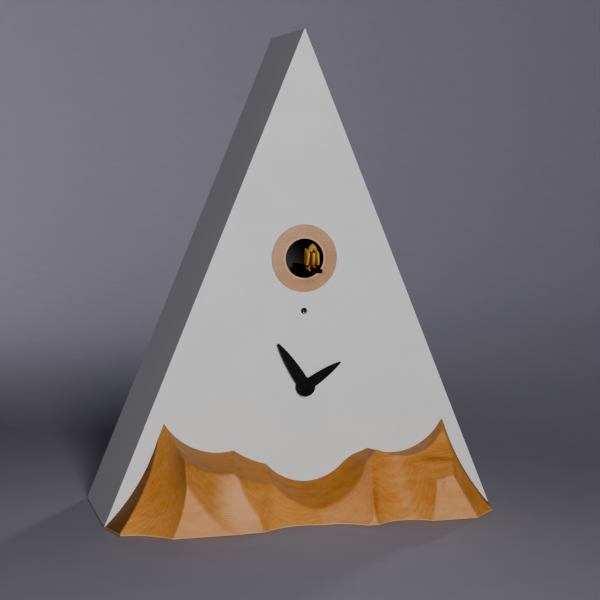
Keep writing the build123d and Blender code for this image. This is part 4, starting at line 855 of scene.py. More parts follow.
def tube(spine: Array, side: Array, half_widths: Array, half_heights: Array, around: int) -> Array:
    """Points of a tube: round each spine point, width times cosine along side plus height times sine along
    the direction square to both side and the spine.

    Args:
        spine: The centre line, one row a point.
        side: Unit direction of the width, one row or one for each spine point.
        half_widths: Half width at each spine point.
        half_heights: Half height at each spine point.
        around: Points round each ring.

    Returns:
        Points, ring by ring.
    """
    run = np.gradient(spine, axis=0)
    run /= np.linalg.norm(run, axis=1, keepdims=True)
    side = np.broadcast_to(side, spine.shape)
    up = np.cross(side, run)
    up /= np.linalg.norm(up, axis=1, keepdims=True)
    turn = np.linspace(0.0, math.tau, around, endpoint=False)
    wide = (half_widths[:, None] * np.cos(turn))[..., None] * side[:, None, :]
    high = (half_heights[:, None] * np.sin(turn))[..., None] * up[:, None, :]
    return (spine[:, None, :] + wide + high).reshape(-1, 3)


def smooth_through(knots: Sequence[Sequence[float]], count: int) -> Array:
    """Even samples of a smooth curve through knots (Catmull-Rom: each stretch leaves and arrives along the
    chord of its neighbours).

    Args:
        knots: One row for each knot, of any number of values.
        count: How many samples.

    Returns:
        One row for each sample.
    """
    given = np.asarray(knots, float)
    padded = np.vstack([2 * given[0] - given[1], given, 2 * given[-1] - given[-2]])
    place = np.linspace(0.0, len(given) - 1 - 1e-9, count)
    i = place.astype(int)
    t = (place - i)[:, None]
    before, start, end, after = (padded[i + k] for k in range(4))
    cubic = 3 * start - before - 3 * end + after
    square = 2 * before - 5 * start + 4 * end - after
    return start + 0.5 * t * (end - before + t * (square + t * cubic))


# ---------------------------------------------------------------- carved mountains
@dataclass(frozen=True)
class Gouge:
    """One round cut in the timber: its axis starts across, forward and up from the wood's back lower edge,
    and runs that way too. Sizes are in millimetres. The rest say how much painted shade, tool rings and painted
    highlight the cut takes."""

    start: Point
    run: Point
    radius: float
    # painted shade, tool rings and painted highlight that the cut takes
    shade_painted: float = 0.0
    ringed: float = 0.0
    sheen_painted: float = 0.0

    def reach(self, across: Array, rise: Array) -> Array:
        """How far a ray goes from the back lower edge before it meets the cut: the nearer root of the
        quadratic for a line and a cylinder.

        Args:
            across: Places along the edge.
            rise: Angles of the rays above the base.

        Returns:
            Distances, one row for each place and one column for each ray, far off where they miss.
        """
        axis = np.array(self.run) / np.linalg.norm(self.run)
        origin = np.stack([across, 0 * across, 0 * across], -1) - np.array(self.start)
        ray = np.stack([0 * rise, np.cos(rise), np.sin(rise)], -1)
        origin = origin - (origin @ axis)[:, None] * axis
        ray = ray - (ray @ axis)[:, None] * axis
        square = (ray * ray).sum(-1)[None, :]
        cross = origin @ ray.T
        rest = (origin * origin).sum(-1)[:, None] - self.radius**2
        inside = cross**2 - square * rest
        nearer = (-cross - np.sqrt(np.maximum(inside, 0.0))) / square
        return np.where((inside > 0) & (cross < 0), nearer, FAR)


@dataclass
class MountainRange:
    """The carved beech range along the case's foot. Its front is worked out as the nearest of all cuts
    along rays that fan up from the wood's back lower edge, so every ridge is where two cuts meet."""

    half_width: float = 175.0
    end_half_width: float = 166.2
    end_proud: float = 30.5
    proud: float = 53.5
    columns: int = 500
    rays: int = 150
    ridge_softness: float = 0.42
    soft_ridges: tuple[Point, ...] = ((42.0, 6.0, 2.6), (128.5, 4.5, 2.6))
    soft_from: float = 1.05
    soft_rise: float = 0.35
    tip_columns: int = 14
    tip_gap: float = 0.15
    foot_chamfer: float = 0.3
    foot_slope: float = 0.7
    # painted highlight on the block's own face
    front_blush: float = 0.85
    arris_from: float = 0.97
    arris_gain: float = 1.1
    arris_most: float = 0.25
    foot_full: float = 1.6
    foot_height: float = 0.6
    gouges: list[Gouge] = field(default_factory=lambda: [
        # the numbers after a radius give painted shade, tool rings and painted highlight
        Gouge((-297.0, 0, 120.0), (0.29, 1, 0.05), 168.7, shade_painted=1.0),
        Gouge((-75.1, 0, 118.8), (0.04, 1, -0.28), 57.8, shade_painted=0.34),
        Gouge((-17.0, 0, 146.9), (0.06, 1, -0.55), 90.0, shade_painted=0.34),
        Gouge((1.3, 0, 87.1), (0.04, 1, -0.55), 50.4, shade_painted=0.34),
        Gouge((47.5, 0, 89.8), (-0.96, 1, -0.59), 35.0, shade_painted=0.34),
        Gouge((81.8, 0, 102.9), (0.08, 1, 0.11), 51.9, shade_painted=0.34),
        Gouge((342.7, 0, 127.3), (-0.41, 1, 0.17), 206.6, shade_painted=0.62),
        Gouge((-166.7, 100.4, 0), (-0.04, -0.74, 1), 55.6),
        Gouge((-50.9, 167.6, 0), (-0.10, -0.33, 1), 109.7, ringed=1.0),
        Gouge((-47.0, 145.7, 0), (0.36, -0.96, 1), 66.0),
        Gouge((-16.9, 109.9, 0), (0.13, -0.65, 1), 59.6),
        Gouge((12.0, 110.6, 0), (-0.05, -0.77, 1), 54.9, sheen_painted=0.4),
        Gouge((78.1, 82.8, 0), (-0.19, -0.36, 1), 36.2, ringed=0.15),
        Gouge((269.8, 162.4, 0), (-0.35, -0.35, 1), 150.0),
        Gouge((92.0, 89.0, 106.8), (1, -0.38, 0.44), 80.3),
    ])

    def places(self) -> Array:
        """Places across the wood, with two at each end's corner, where its side wall stands.

        Returns:
            The places in millimetres, from one end to the other.
        """
        tip = np.linspace(self.end_half_width, self.half_width - self.tip_gap, self.tip_columns)
        middle = np.linspace(-self.end_half_width, self.end_half_width, self.columns)
        return np.concatenate([-tip[::-1], middle, tip])

    def build(self) -> bpy.types.Object:
        """Work out the front, close it with a back, a base and two ends, and store the painted shade, highlight and
        marks that the timber's finish reads.

        Returns:
            The carving.
        """
        across = self.places()
        rise = np.linspace(0.0, math.pi / 2, self.rays)
        reach, share = self.front_reach(across, rise)
        forward = reach * np.cos(rise)
        height = reach * np.sin(rise)
        forward -= self.foot_slope * np.clip(self.foot_chamfer - height, 0.0, None)
        base_y, base_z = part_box("front_panel")[0].y / MM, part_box("carved_mountains")[0].z / MM
        front = np.stack([np.broadcast_to(across[:, None], forward.shape), base_y - forward, base_z + height], -1)
        edge = np.stack([across, np.full_like(across, base_y), np.full_like(across, base_z)], -1)
        points, faces = self.closed(front, edge)
        blank = np.zeros(len(across))
        values = {k: np.concatenate([v.ravel(), blank]) for k, v in self.tones(share, height).items()}
        piece = make_piece("carved_range", points, faces, values)
        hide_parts("carved_mountains")
        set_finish(piece, "beech_oiled")
        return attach(piece, CASE)

    def front_reach(self, across: Array, rise: Array) -> tuple[Array, Array]:
        """How far each ray goes before the first cut or the block's own face stops it: a soft minimum, less the
        softness times the logarithm of the sum of exponentials, so that ridges are rounded.

        Args:
            across: Places along the wood.
            rise: Angles of the rays above the base.

        Returns:
            The reach of each ray in millimetres, and the share that each cut has in it, the block's face last.
        """
        cosine = np.maximum(np.cos(rise), 1e-6)[None, :]
        tip = np.zeros(len(across), bool)
        tip[:self.tip_columns] = tip[-self.tip_columns:] = True
        slant = (self.half_width - np.abs(across)) * self.end_proud / (self.half_width - self.end_half_width)
        depth_limit = np.where(tip, slant, self.proud)[:, None]
        reaches = [gouge.reach(across, rise) for gouge in self.gouges]
        reaches.append(np.minimum(depth_limit / cosine, FAR))
        stack = np.stack(reaches)
        near = stack.min(0)
        softness = self.softness(across, rise)
        share = np.exp(-(stack - near) / softness)
        total = share.sum(0)
        return near - softness * np.log(total), share / total

    def tones(self, share: Array, height: Array) -> dict[str, Array]:
        """Numbers from 0 to 1 that the timber's finish reads: each cut's painted shade, tool rings and painted
        highlight, painted highlight on the block's own face, the darker arris where no cut has nearly all of a
        point, and the pale foot.

        Args:
            share: Each cut's share of each point, the block's face last.
            height: Height of each point above the wood's underside.

        Returns:
            One array for each attribute's name.
        """
        return {
            "shade_painted": self.mix_of("shade_painted", share),
            "ringed": self.mix_of("ringed", share),
            "sheen_painted": self.mix_of("sheen_painted", share) + self.front_blush * share[-1],
            "arris": np.clip((self.arris_from - share.max(0)) * self.arris_gain, 0.0, self.arris_most),
            "foot": np.clip(self.foot_full - height / self.foot_height, 0.0, 1.0),
        }

    def softness(self, across: Array, rise: Array) -> Array:
        """How much each ridge is rounded: a little everywhere, plus bell curves along the wood, high up only,
        where the top's line swings from one cut to the next without a corner.

        Args:
            across: Places along the wood.
            rise: Angles of the rays above the base.

        Returns:
            The rounding in millimetres, one row for each place and one column for each ray.
        """
        bells = sum(extra * np.exp(-(((across - place) / width) ** 2)) for place, width, extra in self.soft_ridges)
        high = np.clip((rise - self.soft_from) / self.soft_rise, 0.0, 1.0)
        return self.ridge_softness + bells[:, None] * high[None, :]

    def mix_of(self, field_name: str, share: Array) -> Array:
        """Blend one of the cuts' own numbers by how much each cut makes of the surface.

        Args:
            field_name: The number's name.
            share: Each cut's share of each point, the block's face last.

        Returns:
            The blended number at each point.
        """
        own = np.array([getattr(gouge, field_name) for gouge in self.gouges] + [0.0])
        return np.tensordot(own, share, 1)

    @staticmethod
    def closed(front: Array, edge: Array) -> tuple[Array, list[list[int]]]:
        """Close the front: quads from its lowest and highest rows to the back lower edge, and a fan at each end.

        Args:
            front: Points of the front, place by ray.
            edge: Points of the back lower edge.

        Returns:
            All points, and all faces.
        """
        places, rays = front.shape[:2]
        faces = grid_faces(places, rays).tolist()
        first_edge = places * rays
        i = np.arange(places - 1)
        low = np.stack([i * rays, (i + 1) * rays, first_edge + i + 1, first_edge + i], -1)
        high = np.stack([i * rays + rays - 1, first_edge + i, first_edge + i + 1, (i + 1) * rays + rays - 1], -1)
        faces += low.tolist() + high.tolist()
        for end in (0, places - 1):
            faces += [[first_edge + end, end * rays + j, end * rays + j + 1] for j in range(rays - 1)]
        return np.concatenate([front.reshape(-1, 3), edge]), faces


# ---------------------------------------------------------------- case, ring and hands
@dataclass
class CaseBoards:
    """The three lacquered boards that show an edge, with their outer edges eased by hand."""

    easing: float = 0.7 * MM

    def build(self) -> list[bpy.types.Object]:
        """Ease the front board's front edges and the side boards' rear edges.

        Returns:
            The three boards.
        """
        front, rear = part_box("front_panel")[0].y / MM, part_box("side_left")[1].y / MM
        made = []
        for node, plane in (("front_panel", front), ("side_left", rear), ("side_right", rear)):
            board = softened_copy(node, node + "_board", self.easing, self.near_plane(plane))
            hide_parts(node)
            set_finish(board, "lacquer_white")
            made.append(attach(board, CASE))
        return made

    @staticmethod
    def near_plane(plane: float) -> Callable[[Array], Array]:
        """A test for points that lie at one depth, given in millimetres."""
        return lambda spots: np.abs(spots[:, 1] - plane) < SAME_PLANE


@dataclass
class OpeningRing:
    """The pale beech ring round the bird's opening, turned with a rounded outer edge and a thin inner lip."""

    lip_width: float = 1.5
    lip_height: float = 0.25
    lip_slope: float = 0.3
    lip_step: float = 0.05
    lip_rounding: Knots = ((0.35, 0.0), (0.1, 0.08), (0.0, 0.35))
    sleeve_wall: float = 1.8
    easing: float = 0.45
    around: int = 192

    def build(self) -> bpy.types.Object:
        """Carry the ring's section round its axis: points at a radius and a depth, turned by cosine and sine.

        Returns:
            The ring.
        """
        low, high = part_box("opening_ring")
        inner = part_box("opening_sleeve")[1].x / MM - self.sleeve_wall
        middle = (low.z + high.z) / 2 / MM
        radius, depth = self.section(inner, (high.x - low.x) / 2 / MM, low.y / MM, high.y / MM)
        turn = np.linspace(0.0, math.tau, self.around, endpoint=False)[:, None]
        shape = (self.around, radius.size)
        points = np.stack([
            radius * np.cos(turn), np.broadcast_to(depth, shape), middle + radius * np.sin(turn),
        ], -1).reshape(-1, 3)
        lip = np.broadcast_to(radius < inner + self.lip_width + 0.1, shape).astype(float)
        ring = make_piece("turned_ring", points, grid_faces(*shape, True, True), {"lip": lip})
        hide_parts("opening_ring")
        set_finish(ring, "beech_pale")
        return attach(ring, CASE)

    def section(self, inner: float, outer: float, front: float, back: float) -> tuple[Array, Array]:
        """The ring's section, from its outer back edge round the front to the inner back edge: a quarter circle
        outside, a face that stands back behind the lip, and the lip's rounded inner edge.

        Args:
            inner: Radius of the hole.
            outer: Radius of the ring.
            front: Depth of the lip's front.
            back: Depth of the ring's back.

        Returns:
            The radius and the depth of each point, in millimetres.
        """
        quarter = np.linspace(0, math.pi / 2, 5)
        face = front + self.lip_height
        rim = inner + self.lip_width
        radius = [outer, *(outer - self.easing * (1 - np.cos(quarter))), rim + self.lip_slope, rim]
        depth = [back, *(face + self.easing * (1 - np.sin(quarter))), face, front + self.lip_step]
        radius += [inner + out for out, _ in self.lip_rounding] + [inner]
        depth += [front + behind for _, behind in self.lip_rounding] + [back]
        return np.array(radius), np.array(depth)


@dataclass
class Hands:
    """The two leaf hands and the cap over their hub, stamped from sheet with broken edges."""

    easing: float = 0.18 * MM
    stamped: tuple[tuple[str, str, str], ...] = (
        ("hour_hand", "hour_hand_leaf", "hour_train"),
        ("minute_hand", "minute_hand_leaf", "minute_train"),
        ("hand_cap", "hub_cap", "minute_train"),
    )

    def build(self) -> list[bpy.types.Object]:
        """Round each hand's and the cap's edges.

        Returns:
            The three pieces.
        """
        made = []
        for node, name, body in self.stamped:
            piece = softened_copy(node, name, self.easing)
            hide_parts(node)
            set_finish(piece, "black_hand")
            made.append(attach(piece, body))
        return made


# ---------------------------------------------------------------- bird
@dataclass
class Songbird:
    """The small gilded bird: a trunk with its head and breast, two folded wings, a tail, an open beak, eyes, and
    feet that grip its perch. Sizes are in millimetres from the middle of the perch's top under the feet, with
    negative depth towards the beak.

    A trunk knot is a height, half width, front and back. A wing knot is a height, middle, half thickness, front
    and back. A knot of the tail or the beak is a depth, height, half width and half thickness. A toe's knot is
    across, depth, height and radius."""

    around: int = 96
    rings: int = 90
    wing_around: int = 64
    tail_grid: tuple[int, int] = (20, 36)
    beak_grid: tuple[int, int] = (16, 24)
    eye_grid: tuple[int, int] = (14, 24)
    toe_grid: tuple[int, int] = (12, 14)
    trunk_knots: Knots = (
        (1.5, 0.2, -1.6, -1.2), (1.8, 2.0, -4.0, 1.5), (3.0, 2.9, -5.0, 4.0), (6.0, 3.6, -5.8, 6.4),
        (9.5, 3.8, -6.0, 6.0), (12.5, 3.9, -5.8, 4.2), (14.5, 3.9, -6.0, 2.9), (16.4, 3.4, -6.3, 2.4),
        (18.2, 2.1, -5.7, 1.4), (19.5, 0.9, -4.3, -0.2), (20.1, 0.1, -2.8, -2.4),
    )
    wing_knots: Knots = (
        (1.5, 4.9, 0.15, -1.2, 0.4), (2.0, 4.8, 0.75, -3.8, 2.2), (4.0, 4.6, 1.05, -5.3, 4.6),
        (8.0, 4.3, 1.25, -6.0, 6.0), (11.5, 4.1, 1.35, -6.1, 6.3), (13.5, 4.0, 1.30, -5.6, 6.2),
        (14.6, 3.9, 0.90, -4.6, 5.5), (15.0, 3.9, 0.15, -2.0, 3.0),
    )
    tail_knots: Knots = ((4.6, 3.6, 1.6, 1.0), (6.6, 2.2, 2.0, 0.7), (8.6, 1.2, 2.4, 0.5), (9.2, 0.9, 2.3, 0.15))
    upper_beak_knots: Knots = ((-5.0, 16.2, 1.5, 0.85), (-7.0, 16.0, 0.95, 0.60), (-9.2, 15.2, 0.12, 0.12))
    lower_beak_knots: Knots = ((-6.4, 12.9, 1.2, 0.45), (-7.8, 12.8, 0.75, 0.35), (-8.9, 12.7, 0.12, 0.12))
    foot_knots: tuple[Knots, ...] = (
        ((1.3, 0.2, 3.0, 0.60), (1.5, 0.1, 1.4, 0.55), (1.9, 0.0, 0.35, 0.60)),
        ((4.0, 3.0, -0.3, 0.45), (3.1, -0.4, -0.9, 0.85), (2.9, -2.6, -1.7, 0.80), (2.6, -4.6, -2.5, 0.45)),
        ((1.6, 0.0, 0.5, 0.50), (2.4, 0.8, 0.1, 0.50), (2.6, 1.2, -1.0, 0.40), (2.5, 1.3, -2.0, 0.28)),
        ((1.6, 0.0, 0.5, 0.50), (2.4, -0.9, 0.1, 0.55), (2.8, -1.3, -0.8, 0.50), (2.7, -1.6, -1.6, 0.30)),
    )
    breast_half_width: float = 1.45
    breast_proud: float = 1.7
    breast_ends: tuple[float, float] = (1.6, 13.4)
    mouth_top: float = 15.4
    mouth_half_width: float = 1.5
    mouth_slope: float = 0.95
    mouth_depth: float = 0.9
    wing_lean: float = 0.26
    wing_boxiness: float = 0.62
    feather_pitch: float = 2.3
    feather_slant: float = 0.30
    feather_depth: float = 0.28
    tail_feather_pitch: float = 1.5
    eye: Point = (3.5, -2.0, 15.9)
    eye_radius: float = 0.78

    def __post_init__(self) -> None:
        """Find the perch's top from the CAD model's feet."""
        low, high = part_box("bird_feet")
        self.seat = np.array([0.0, (low.y + high.y) / 2 / MM, low.z / MM])

    def add(
        self, name: str, slot: str, points: Array, faces: Sequence[Sequence[int]], node: str | None = None,
        **values: Array,
    ) -> bpy.types.Object:
        """Make one piece of the bird, moved to its seat.

        Args:
            name: The piece's name.
            slot: The material slot that it takes its finish from.
            points: Its points about the seat.
            faces: Its faces.
            node: The CAD node that it stands for.
            values: Numbers from 0 to 1 at each point: where glaze and painted shade darken the grooves, and where the
                gold is painted redder as shade.

        Returns:
            The piece.
        """
        piece = make_piece(name, points.reshape(-1, 3) + self.seat, faces, values)
        if node:
            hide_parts(node)
        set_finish(piece, slot)
        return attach(piece, BIRD_BODY)

    @staticmethod
    def capped(rings: int, around: int) -> list[list[int]]:
        """Faces of a tube with both ends closed.

        Args:
            rings: Rings along the tube.
            around: Points round each ring.

        Returns:
            Point numbers of each face.
        """
        faces = grid_faces(rings, around, round_columns=True).tolist()
        return faces + [list(range(around)), list(range((rings - 1) * around, rings * around))]

    @staticmethod
    def step(value: Array, low: float, high: float) -> Array:
        """Smooth rise from 0 at low to 1 at high: three squares less two cubes of the share between them.

        Args:
            value: Where the rise is read.
            low: Value at which it starts.
            high: Value at which it is complete.

        Returns:
            The rise, from 0 to 1.
        """
        share = np.clip((value - low) / (high - low), 0.0, 1.0)
        return share * share * (3.0 - 2.0 * share)

    def build(self) -> list[bpy.types.Object]:
        """Make every piece of the bird.

        Returns:
            Its pieces.
        """
        return [self.trunk(), *self.wings(), self.tail(), *self.beak(), *self.eyes(), *self.feet()]

    def trunk(self) -> bpy.types.Object:
        """Body, head and breast: level oval sections up the body, each from its half width and its front and
        back depths. A breast lobe (a flat-topped bell across) stands proud in front, and a mouth shaped like
        a roof is sunk over it.

        Returns:
            The trunk.
        """
        height, wide, front, back = smooth_through(self.trunk_knots, self.rings).T[:, :, None]
        turn = np.linspace(0.0, math.tau, self.around, endpoint=False)[None, :]
        across = np.maximum(wide, 0.05) * np.sin(turn)
        depth = (front + back) / 2 - (back - front) / 2 * np.cos(turn)
        ahead = self.step(np.cos(turn), 0.0, 0.25)
        bottom, top = self.breast_ends
        length = self.step(height, bottom, bottom + 1.6) * (1 - self.step(height, top - 1.0, top + 0.4))
        lobe = np.exp(-((across / self.breast_half_width) ** 4)) * length * ahead
        roof = self.mouth_top - self.mouth_slope * np.abs(across)
        mouth = self.step(roof - height, -0.25, 0.25) * self.step(height, 13.0, 13.4) * ahead
        mouth = mouth * (1 - self.step(np.abs(across), self.mouth_half_width - 0.3, self.mouth_half_width))
        depth = depth - self.breast_proud * lobe + self.mouth_depth * mouth
        # glaze and painted shade round the breast lobe, below it and in the mouth; redder gold painted as shade low
        # on the breast
        below = (1 - self.step(height, 13.2, 14.4)) * ahead
        groove = np.clip((1 - lobe) ** 2 * below * (1 - 0.35 * self.step(across, 1.5, 3.0)) + mouth, 0.0, 1.0)
        warmth = np.clip(0.75 * lobe * (1 - self.step(height, 3.0, 7.5)) + 0.25 * below, 0.0, 1.0)
        points = np.stack([across, depth, np.broadcast_to(height, depth.shape)], -1)
        faces = self.capped(self.rings, self.around)
        return self.add("bird_trunk", "bird_gold", points, faces, "bird_body", groove=groove, warmth=warmth)

    def wings(self) -> list[bpy.types.Object]:
        """Two folded wings: boxy rounded sections (cosine and sine to a power under one) up each flank, leaning
        up towards the back, with slanting feather grooves cut in the outer side (a cosine to a high power).

        Returns:
            The right wing and the left one.
        """
        height, middle, thick, front, back = smooth_through(self.wing_knots, self.rings).T[:, :, None]
        turn = np.linspace(0.0, math.tau, self.wing_around, endpoint=False)[None, :]
        boxy = [np.sign(f(turn)) * np.abs(f(turn)) ** self.wing_boxiness for f in (np.cos, np.sin)]
        outward = np.maximum(thick, 0.1) * boxy[0]
        along = (back - front) / 2 * boxy[1]
        depth = (front + back) / 2 + along
        lean = self.wing_lean * self.step(height, 3.0, 13.0)
        outside = self.step(boxy[0], 0.2, 0.8)
        line = (depth + self.feather_slant * height) * math.tau / self.feather_pitch
        feather = (0.5 + 0.5 * np.cos(line)) ** 6 * outside * (1 - self.step(height, 10.5, 13.0))
        feather = feather * self.step(height, 2.0, 3.5)
        outward = outward - self.feather_depth * feather
        # redder gold painted as shade on the outer side behind the wing's front edge; glaze and painted shade in the
        # feather grooves
        warmth = np.clip(0.85 * outside * self.step(depth, front + 1.0, front + 3.5), 0.0, 1.0)
        made = []
        for side, name in ((-1, "bird_wing_right"), (1, "bird_wing_left")):
            points = np.stack([side * (middle + outward), depth, height + lean * along], -1)
            faces = self.capped(self.rings, self.wing_around)
            made.append(self.add(name, "bird_gold", points, faces, "bird_wings", groove=0.7 * feather, warmth=warmth))
        return made

    def tail(self) -> bpy.types.Object:
        """Tail: a flat fan that widens from the rump, with dark feather lines of glaze and painted shade along it (a
        cosine to a power).

        Returns:
            The tail.
        """
        rings, around = self.tail_grid
        depth, height, wide, thick = smooth_through(self.tail_knots, rings).T
        spine = np.stack([0 * depth, depth, height], -1)
        points = tube(spine, np.array([1.0, 0.0, 0.0]), wide, thick, around).reshape(rings, around, 3)
        line = points[..., 0] * math.tau / self.tail_feather_pitch + math.pi
        # dark feather lines of glaze and painted shade, with no grooves cut
        groove = (0.5 + 0.5 * np.cos(line)) ** 4 * np.linspace(0, 1, rings)[:, None]
        faces = self.capped(rings, around)
        return self.add("bird_tail", "bird_gold", points, faces, groove=groove, warmth=np.full_like(groove, 0.3))

    def beak(self) -> list[bpy.types.Object]:
        """Open beak: two curved cones, darkened where they face each other by the mouth's dark glaze and painted
        shade.

        Returns:
            The upper and the lower half.
        """
        rings, around = self.beak_grid
        halves = (("bird_beak_upper", self.upper_beak_knots, -1.0), ("bird_beak_lower", self.lower_beak_knots, 1.0))
        made = []
        for name, knots, inner in halves:
            depth, height, wide, thick = smooth_through(knots, rings).T
            spine = np.stack([0 * depth, depth, height], -1)
            points = tube(spine, np.array([1.0, 0.0, 0.0]), wide, thick, around)
            rise = (points[:, 2] - np.repeat(height, around)) * inner
            tones = {"groove": self.step(rise, 0.05, 0.25), "warmth": 0 * rise}
            made.append(self.add(name, "bird_mouth", points, self.capped(rings, around), "bird_beak", **tones))
        return made

    def eyes(self) -> list[bpy.types.Object]:
        """Two round eyes: sine and cosine of two angles.

        Returns:
            The right eye and the left one.
        """
        rings, around = self.eye_grid
        angles = np.linspace(0, math.pi, rings), np.linspace(0, math.tau, around, endpoint=False)
        lift, turn = np.meshgrid(*angles, indexing="ij")
        ball = np.stack([np.sin(lift) * np.cos(turn), np.sin(lift) * np.sin(turn), np.cos(lift)], -1).reshape(-1, 3)
        made = []
        for side, name in ((-1, "bird_eye_right"), (1, "bird_eye_left")):
            centre = np.array(self.eye) * np.array([side, 1.0, 1.0])
            faces = grid_faces(rings, around, round_columns=True)
            made.append(self.add(name, "black_plastic", centre + ball * self.eye_radius, faces))
        return made

    def feet(self) -> list[bpy.types.Object]:
        """Two feet: a leg, a heavy front toe that lies along the perch's side, and two toes curled round it.

        Returns:
            The right foot and the left one.
        """
        rings, around = self.toe_grid
        made = []
        for side, name in ((-1, "bird_foot_right"), (1, "bird_foot_left")):
            points, faces = [], []
            for number, knots in enumerate(self.foot_knots):
                samples = smooth_through(knots, rings)
                spine = samples[:, :3] * np.array([side, 1.0, 1.0])
                sideways = np.cross(np.gradient(spine, axis=0), np.array([0.1, 0.0, 1.0]))
                sideways /= np.linalg.norm(sideways, axis=1, keepdims=True)
                points.append(tube(spine, sideways, samples[:, 3], samples[:, 3], around))
                first = number * rings * around
                faces += [[first + k for k in face] for face in self.capped(rings, around)]
            made.append(self.add(name, "bird_orange", np.concatenate(points), faces, "bird_feet"))
        return made


# ---------------------------------------------------------------- studio
class Kind(Enum):
    """The kinds of light that the studio uses."""

    PANEL = "AREA"
    SPOT = "SPOT"


@dataclass(frozen=True)
class Lamp:
    """One light that looks at a point: its place and aim in metres, its power in watts and its kind's own sizes."""

    name: str
    kind: Kind
    place: Point
    aim: Point
    power: float
    colour: Colour
    sizes: dict[str, float]

    def build(self) -> None:
        """Add the light to the scene."""
        light = bpy.data.lights.new(self.name, self.kind.value)
        light.energy = self.power
        light.color = self.colour
        for key, value in self.sizes.items():
            setattr(light, key, value)
        holder = bpy.data.objects.new(self.name, light)
        holder.location = self.place
        holder.rotation_euler = (Vector(self.aim) - Vector(self.place)).to_track_quat("-Z", "Y").to_euler()
        bpy.context.scene.collection.objects.link(holder)


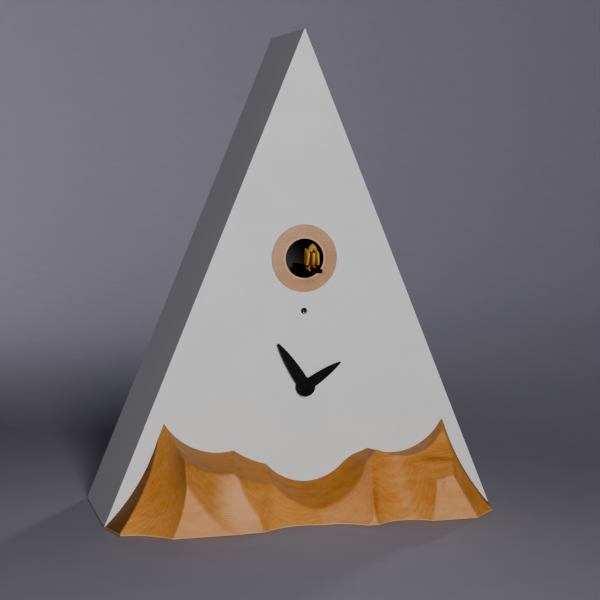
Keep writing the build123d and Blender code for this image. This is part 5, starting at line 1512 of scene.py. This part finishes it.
@dataclass
class Studio:
    """A pale seamless bowl for a floor and backdrop, soft lights, and the camera. Sizes are in metres."""

    bowl_radius: float = 1.5
    bowl_bend: float = 2.3
    bowl_wall: float = 1.4
    bowl_around: int = 96
    floor_rings: int = 20
    bend_rings: int = 24
    bowl_colour: Colour = (0.30, 0.290, 0.345)
    fibre_tone: float = 0.97
    world_colour: Colour = (0.80, 0.82, 0.90)
    world_strength: float = 0.020
    camera_place: Point = (-0.3350, -1.1956, 0.3101)
    camera_turn: float = -0.276777
    camera_tilt: float = 0.099015
    camera_roll: float = 0.00257
    lens: float = 84.64
    sensor: float = 36.0

    def build(self) -> None:
        """Make the bowl, the lights, the world and the camera."""
        self.make_bowl()
        self.make_lights()
        self.make_camera()

    def make_bowl(self) -> None:
        """Floor and backdrop: a flat disc whose rim bends up a quarter circle into a wall, turned about Z."""
        bend = np.linspace(0.0, math.pi / 2, self.bend_rings + 1)[1:]
        floor = np.linspace(0.001, self.bowl_radius, self.floor_rings)
        radius = np.concatenate([floor, self.bowl_radius + self.bowl_bend * np.sin(bend)])
        height = np.concatenate([0 * floor, self.bowl_bend * (1 - np.cos(bend))])
        radius = np.append(radius, radius[-1])
        height = np.append(height, height[-1] + self.bowl_wall)
        turn = np.linspace(0.0, math.tau, self.bowl_around, endpoint=False)[:, None]
        shape = (self.bowl_around, radius.size)
        points = np.stack([radius * np.cos(turn), radius * np.sin(turn), np.broadcast_to(height, shape)], -1)
        mesh = bpy.data.meshes.new("studio_bowl")
        mesh.from_pydata(points.reshape(-1, 3).tolist(), [], grid_faces(*shape, round_rows=True).tolist())
        mesh.shade_smooth()
        bowl = bpy.data.objects.new("studio_bowl", mesh)
        bpy.context.scene.collection.objects.link(bowl)
        shade = Shade("backdrop_paper")
        fibres = shade.noise(shade.place(), 30.0, 4.0, 0.6)
        darker = tuple(self.fibre_tone * c for c in self.bowl_colour)
        tone = shade.blend(shade.span(fibres, 0.3, 0.7), darker, self.bowl_colour)
        shade.finish(tone, 0.85, specular_ior_level=0.2)
        mesh.materials.append(shade.material)

    def make_lights(self) -> None:
        """A soft key low in front, a dim one overhead, a wash on the backdrop, a narrow fill behind for the back
        and right side, and a faint even world."""
        cone = {"spot_size": math.radians(15.0), "spot_blend": 0.6, "shadow_soft_size": 0.15}
        key, overhead, wash = {"size": 0.42}, {"size": 2.0}, {"size": 0.9}
        for lamp in (
            Lamp("key", Kind.PANEL, (-0.15, -1.94, 0.56), (0.0, -0.03, 0.20), 33.6, (1.0, 0.988, 0.975), key),
            Lamp("overhead", Kind.PANEL, (0.3, 0.1, 3.0), (0.0, 0.2, 0.0), 1.2, (0.94, 0.95, 1.0), overhead),
            Lamp("backdrop_wash", Kind.PANEL, (-0.9, 1.1, 1.7), (0.3, 3.0, 1.45), 38.0, (0.97, 0.96, 1.0), wash),
            Lamp("rear_fill", Kind.SPOT, (1.5, 1.8, 1.2), (0.0, 0.10, 0.27), 60.0, (1.0, 0.99, 0.98), cone),
        ):
            lamp.build()
        world = bpy.data.worlds.new("studio_world")
        bpy.context.scene.world = world
        world.use_nodes = True
        background = world.node_tree.nodes["Background"]
        background.inputs["Color"].default_value = (*self.world_colour, 1.0)
        background.inputs["Strength"].default_value = self.world_strength

    def make_camera(self) -> None:
        """Camera from its place, turn, tilt and roll: back looks away from the view, side is level."""
        turn, tilt, roll = self.camera_turn, self.camera_tilt, self.camera_roll
        back = Vector((math.sin(turn) * math.cos(tilt), -math.cos(turn) * math.cos(tilt), math.sin(tilt)))
        side = Vector((0.0, 0.0, 1.0)).cross(back).normalized()
        up = back.cross(side)
        right = math.cos(roll) * side + math.sin(roll) * up
        top = -math.sin(roll) * side + math.cos(roll) * up
        data = bpy.data.cameras.new("camera")
        data.lens = self.lens
        data.sensor_width = self.sensor
        data.clip_end = 50.0
        camera = bpy.data.objects.new("camera", data)
        camera.matrix_world = Matrix.Translation(self.camera_place) @ Matrix((right, top, back)).transposed().to_4x4()
        bpy.context.scene.collection.objects.link(camera)
        bpy.context.scene.camera = camera


# ---------------------------------------------------------------- assembly
class Dresser:
    """Gives every CAD node and every new piece the material of its slot."""

    def __init__(self, made: dict[str, Finish]) -> None:
        """Build each finish's material once.

        Args:
            made: The finish of each slot.
        """
        self.materials = {slot: finish.material() for slot, finish in made.items()}

    def dress(self, piece: bpy.types.Object, slot: str) -> None:
        """Give one piece the material of a slot.

        Args:
            piece: The piece.
            slot: The slot's name.
        """
        material = self.materials[slot]
        if not piece.data.materials:
            piece.data.materials.append(material)
        for number in range(len(piece.data.materials)):
            piece.data.materials[number] = material

    def dress_all(self, pieces: Sequence[bpy.types.Object]) -> None:
        """Dress the CAD nodes by the record and the new pieces by their own slots.

        Args:
            pieces: The new pieces.
        """
        for part in frame["record"]["subparts"]:
            slot = COVER_SLOT if part["node"] in COVER_NODES else part["material_slot"]
            self.dress(frame["nodes"][part["node"]], slot)
        for piece in pieces:
            self.dress(piece, piece["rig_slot"])


def main() -> None:
    """Build the studio, the new pieces and the finishes."""
    logging.basicConfig(level=logging.INFO, format="%(name)s: %(message)s")
    Studio().build()
    low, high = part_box("light_sensor")
    # painted glint: a pale disc below the middle of the sensor's window
    glint_spot = ((low.x + high.x) / 2, low.y, (low.z + high.z) / 2 - GLINT_DROP)
    pieces = [MountainRange().build(), *CaseBoards().build(), OpeningRing().build(), *Hands().build()]
    pieces += Songbird().build()
    Dresser(finishes(glint_spot)).dress_all(pieces)
    for piece in pieces:
        log.info("%s: %d points", piece.name, len(piece.data.vertices))


if __name__ == "__main__":
    main()
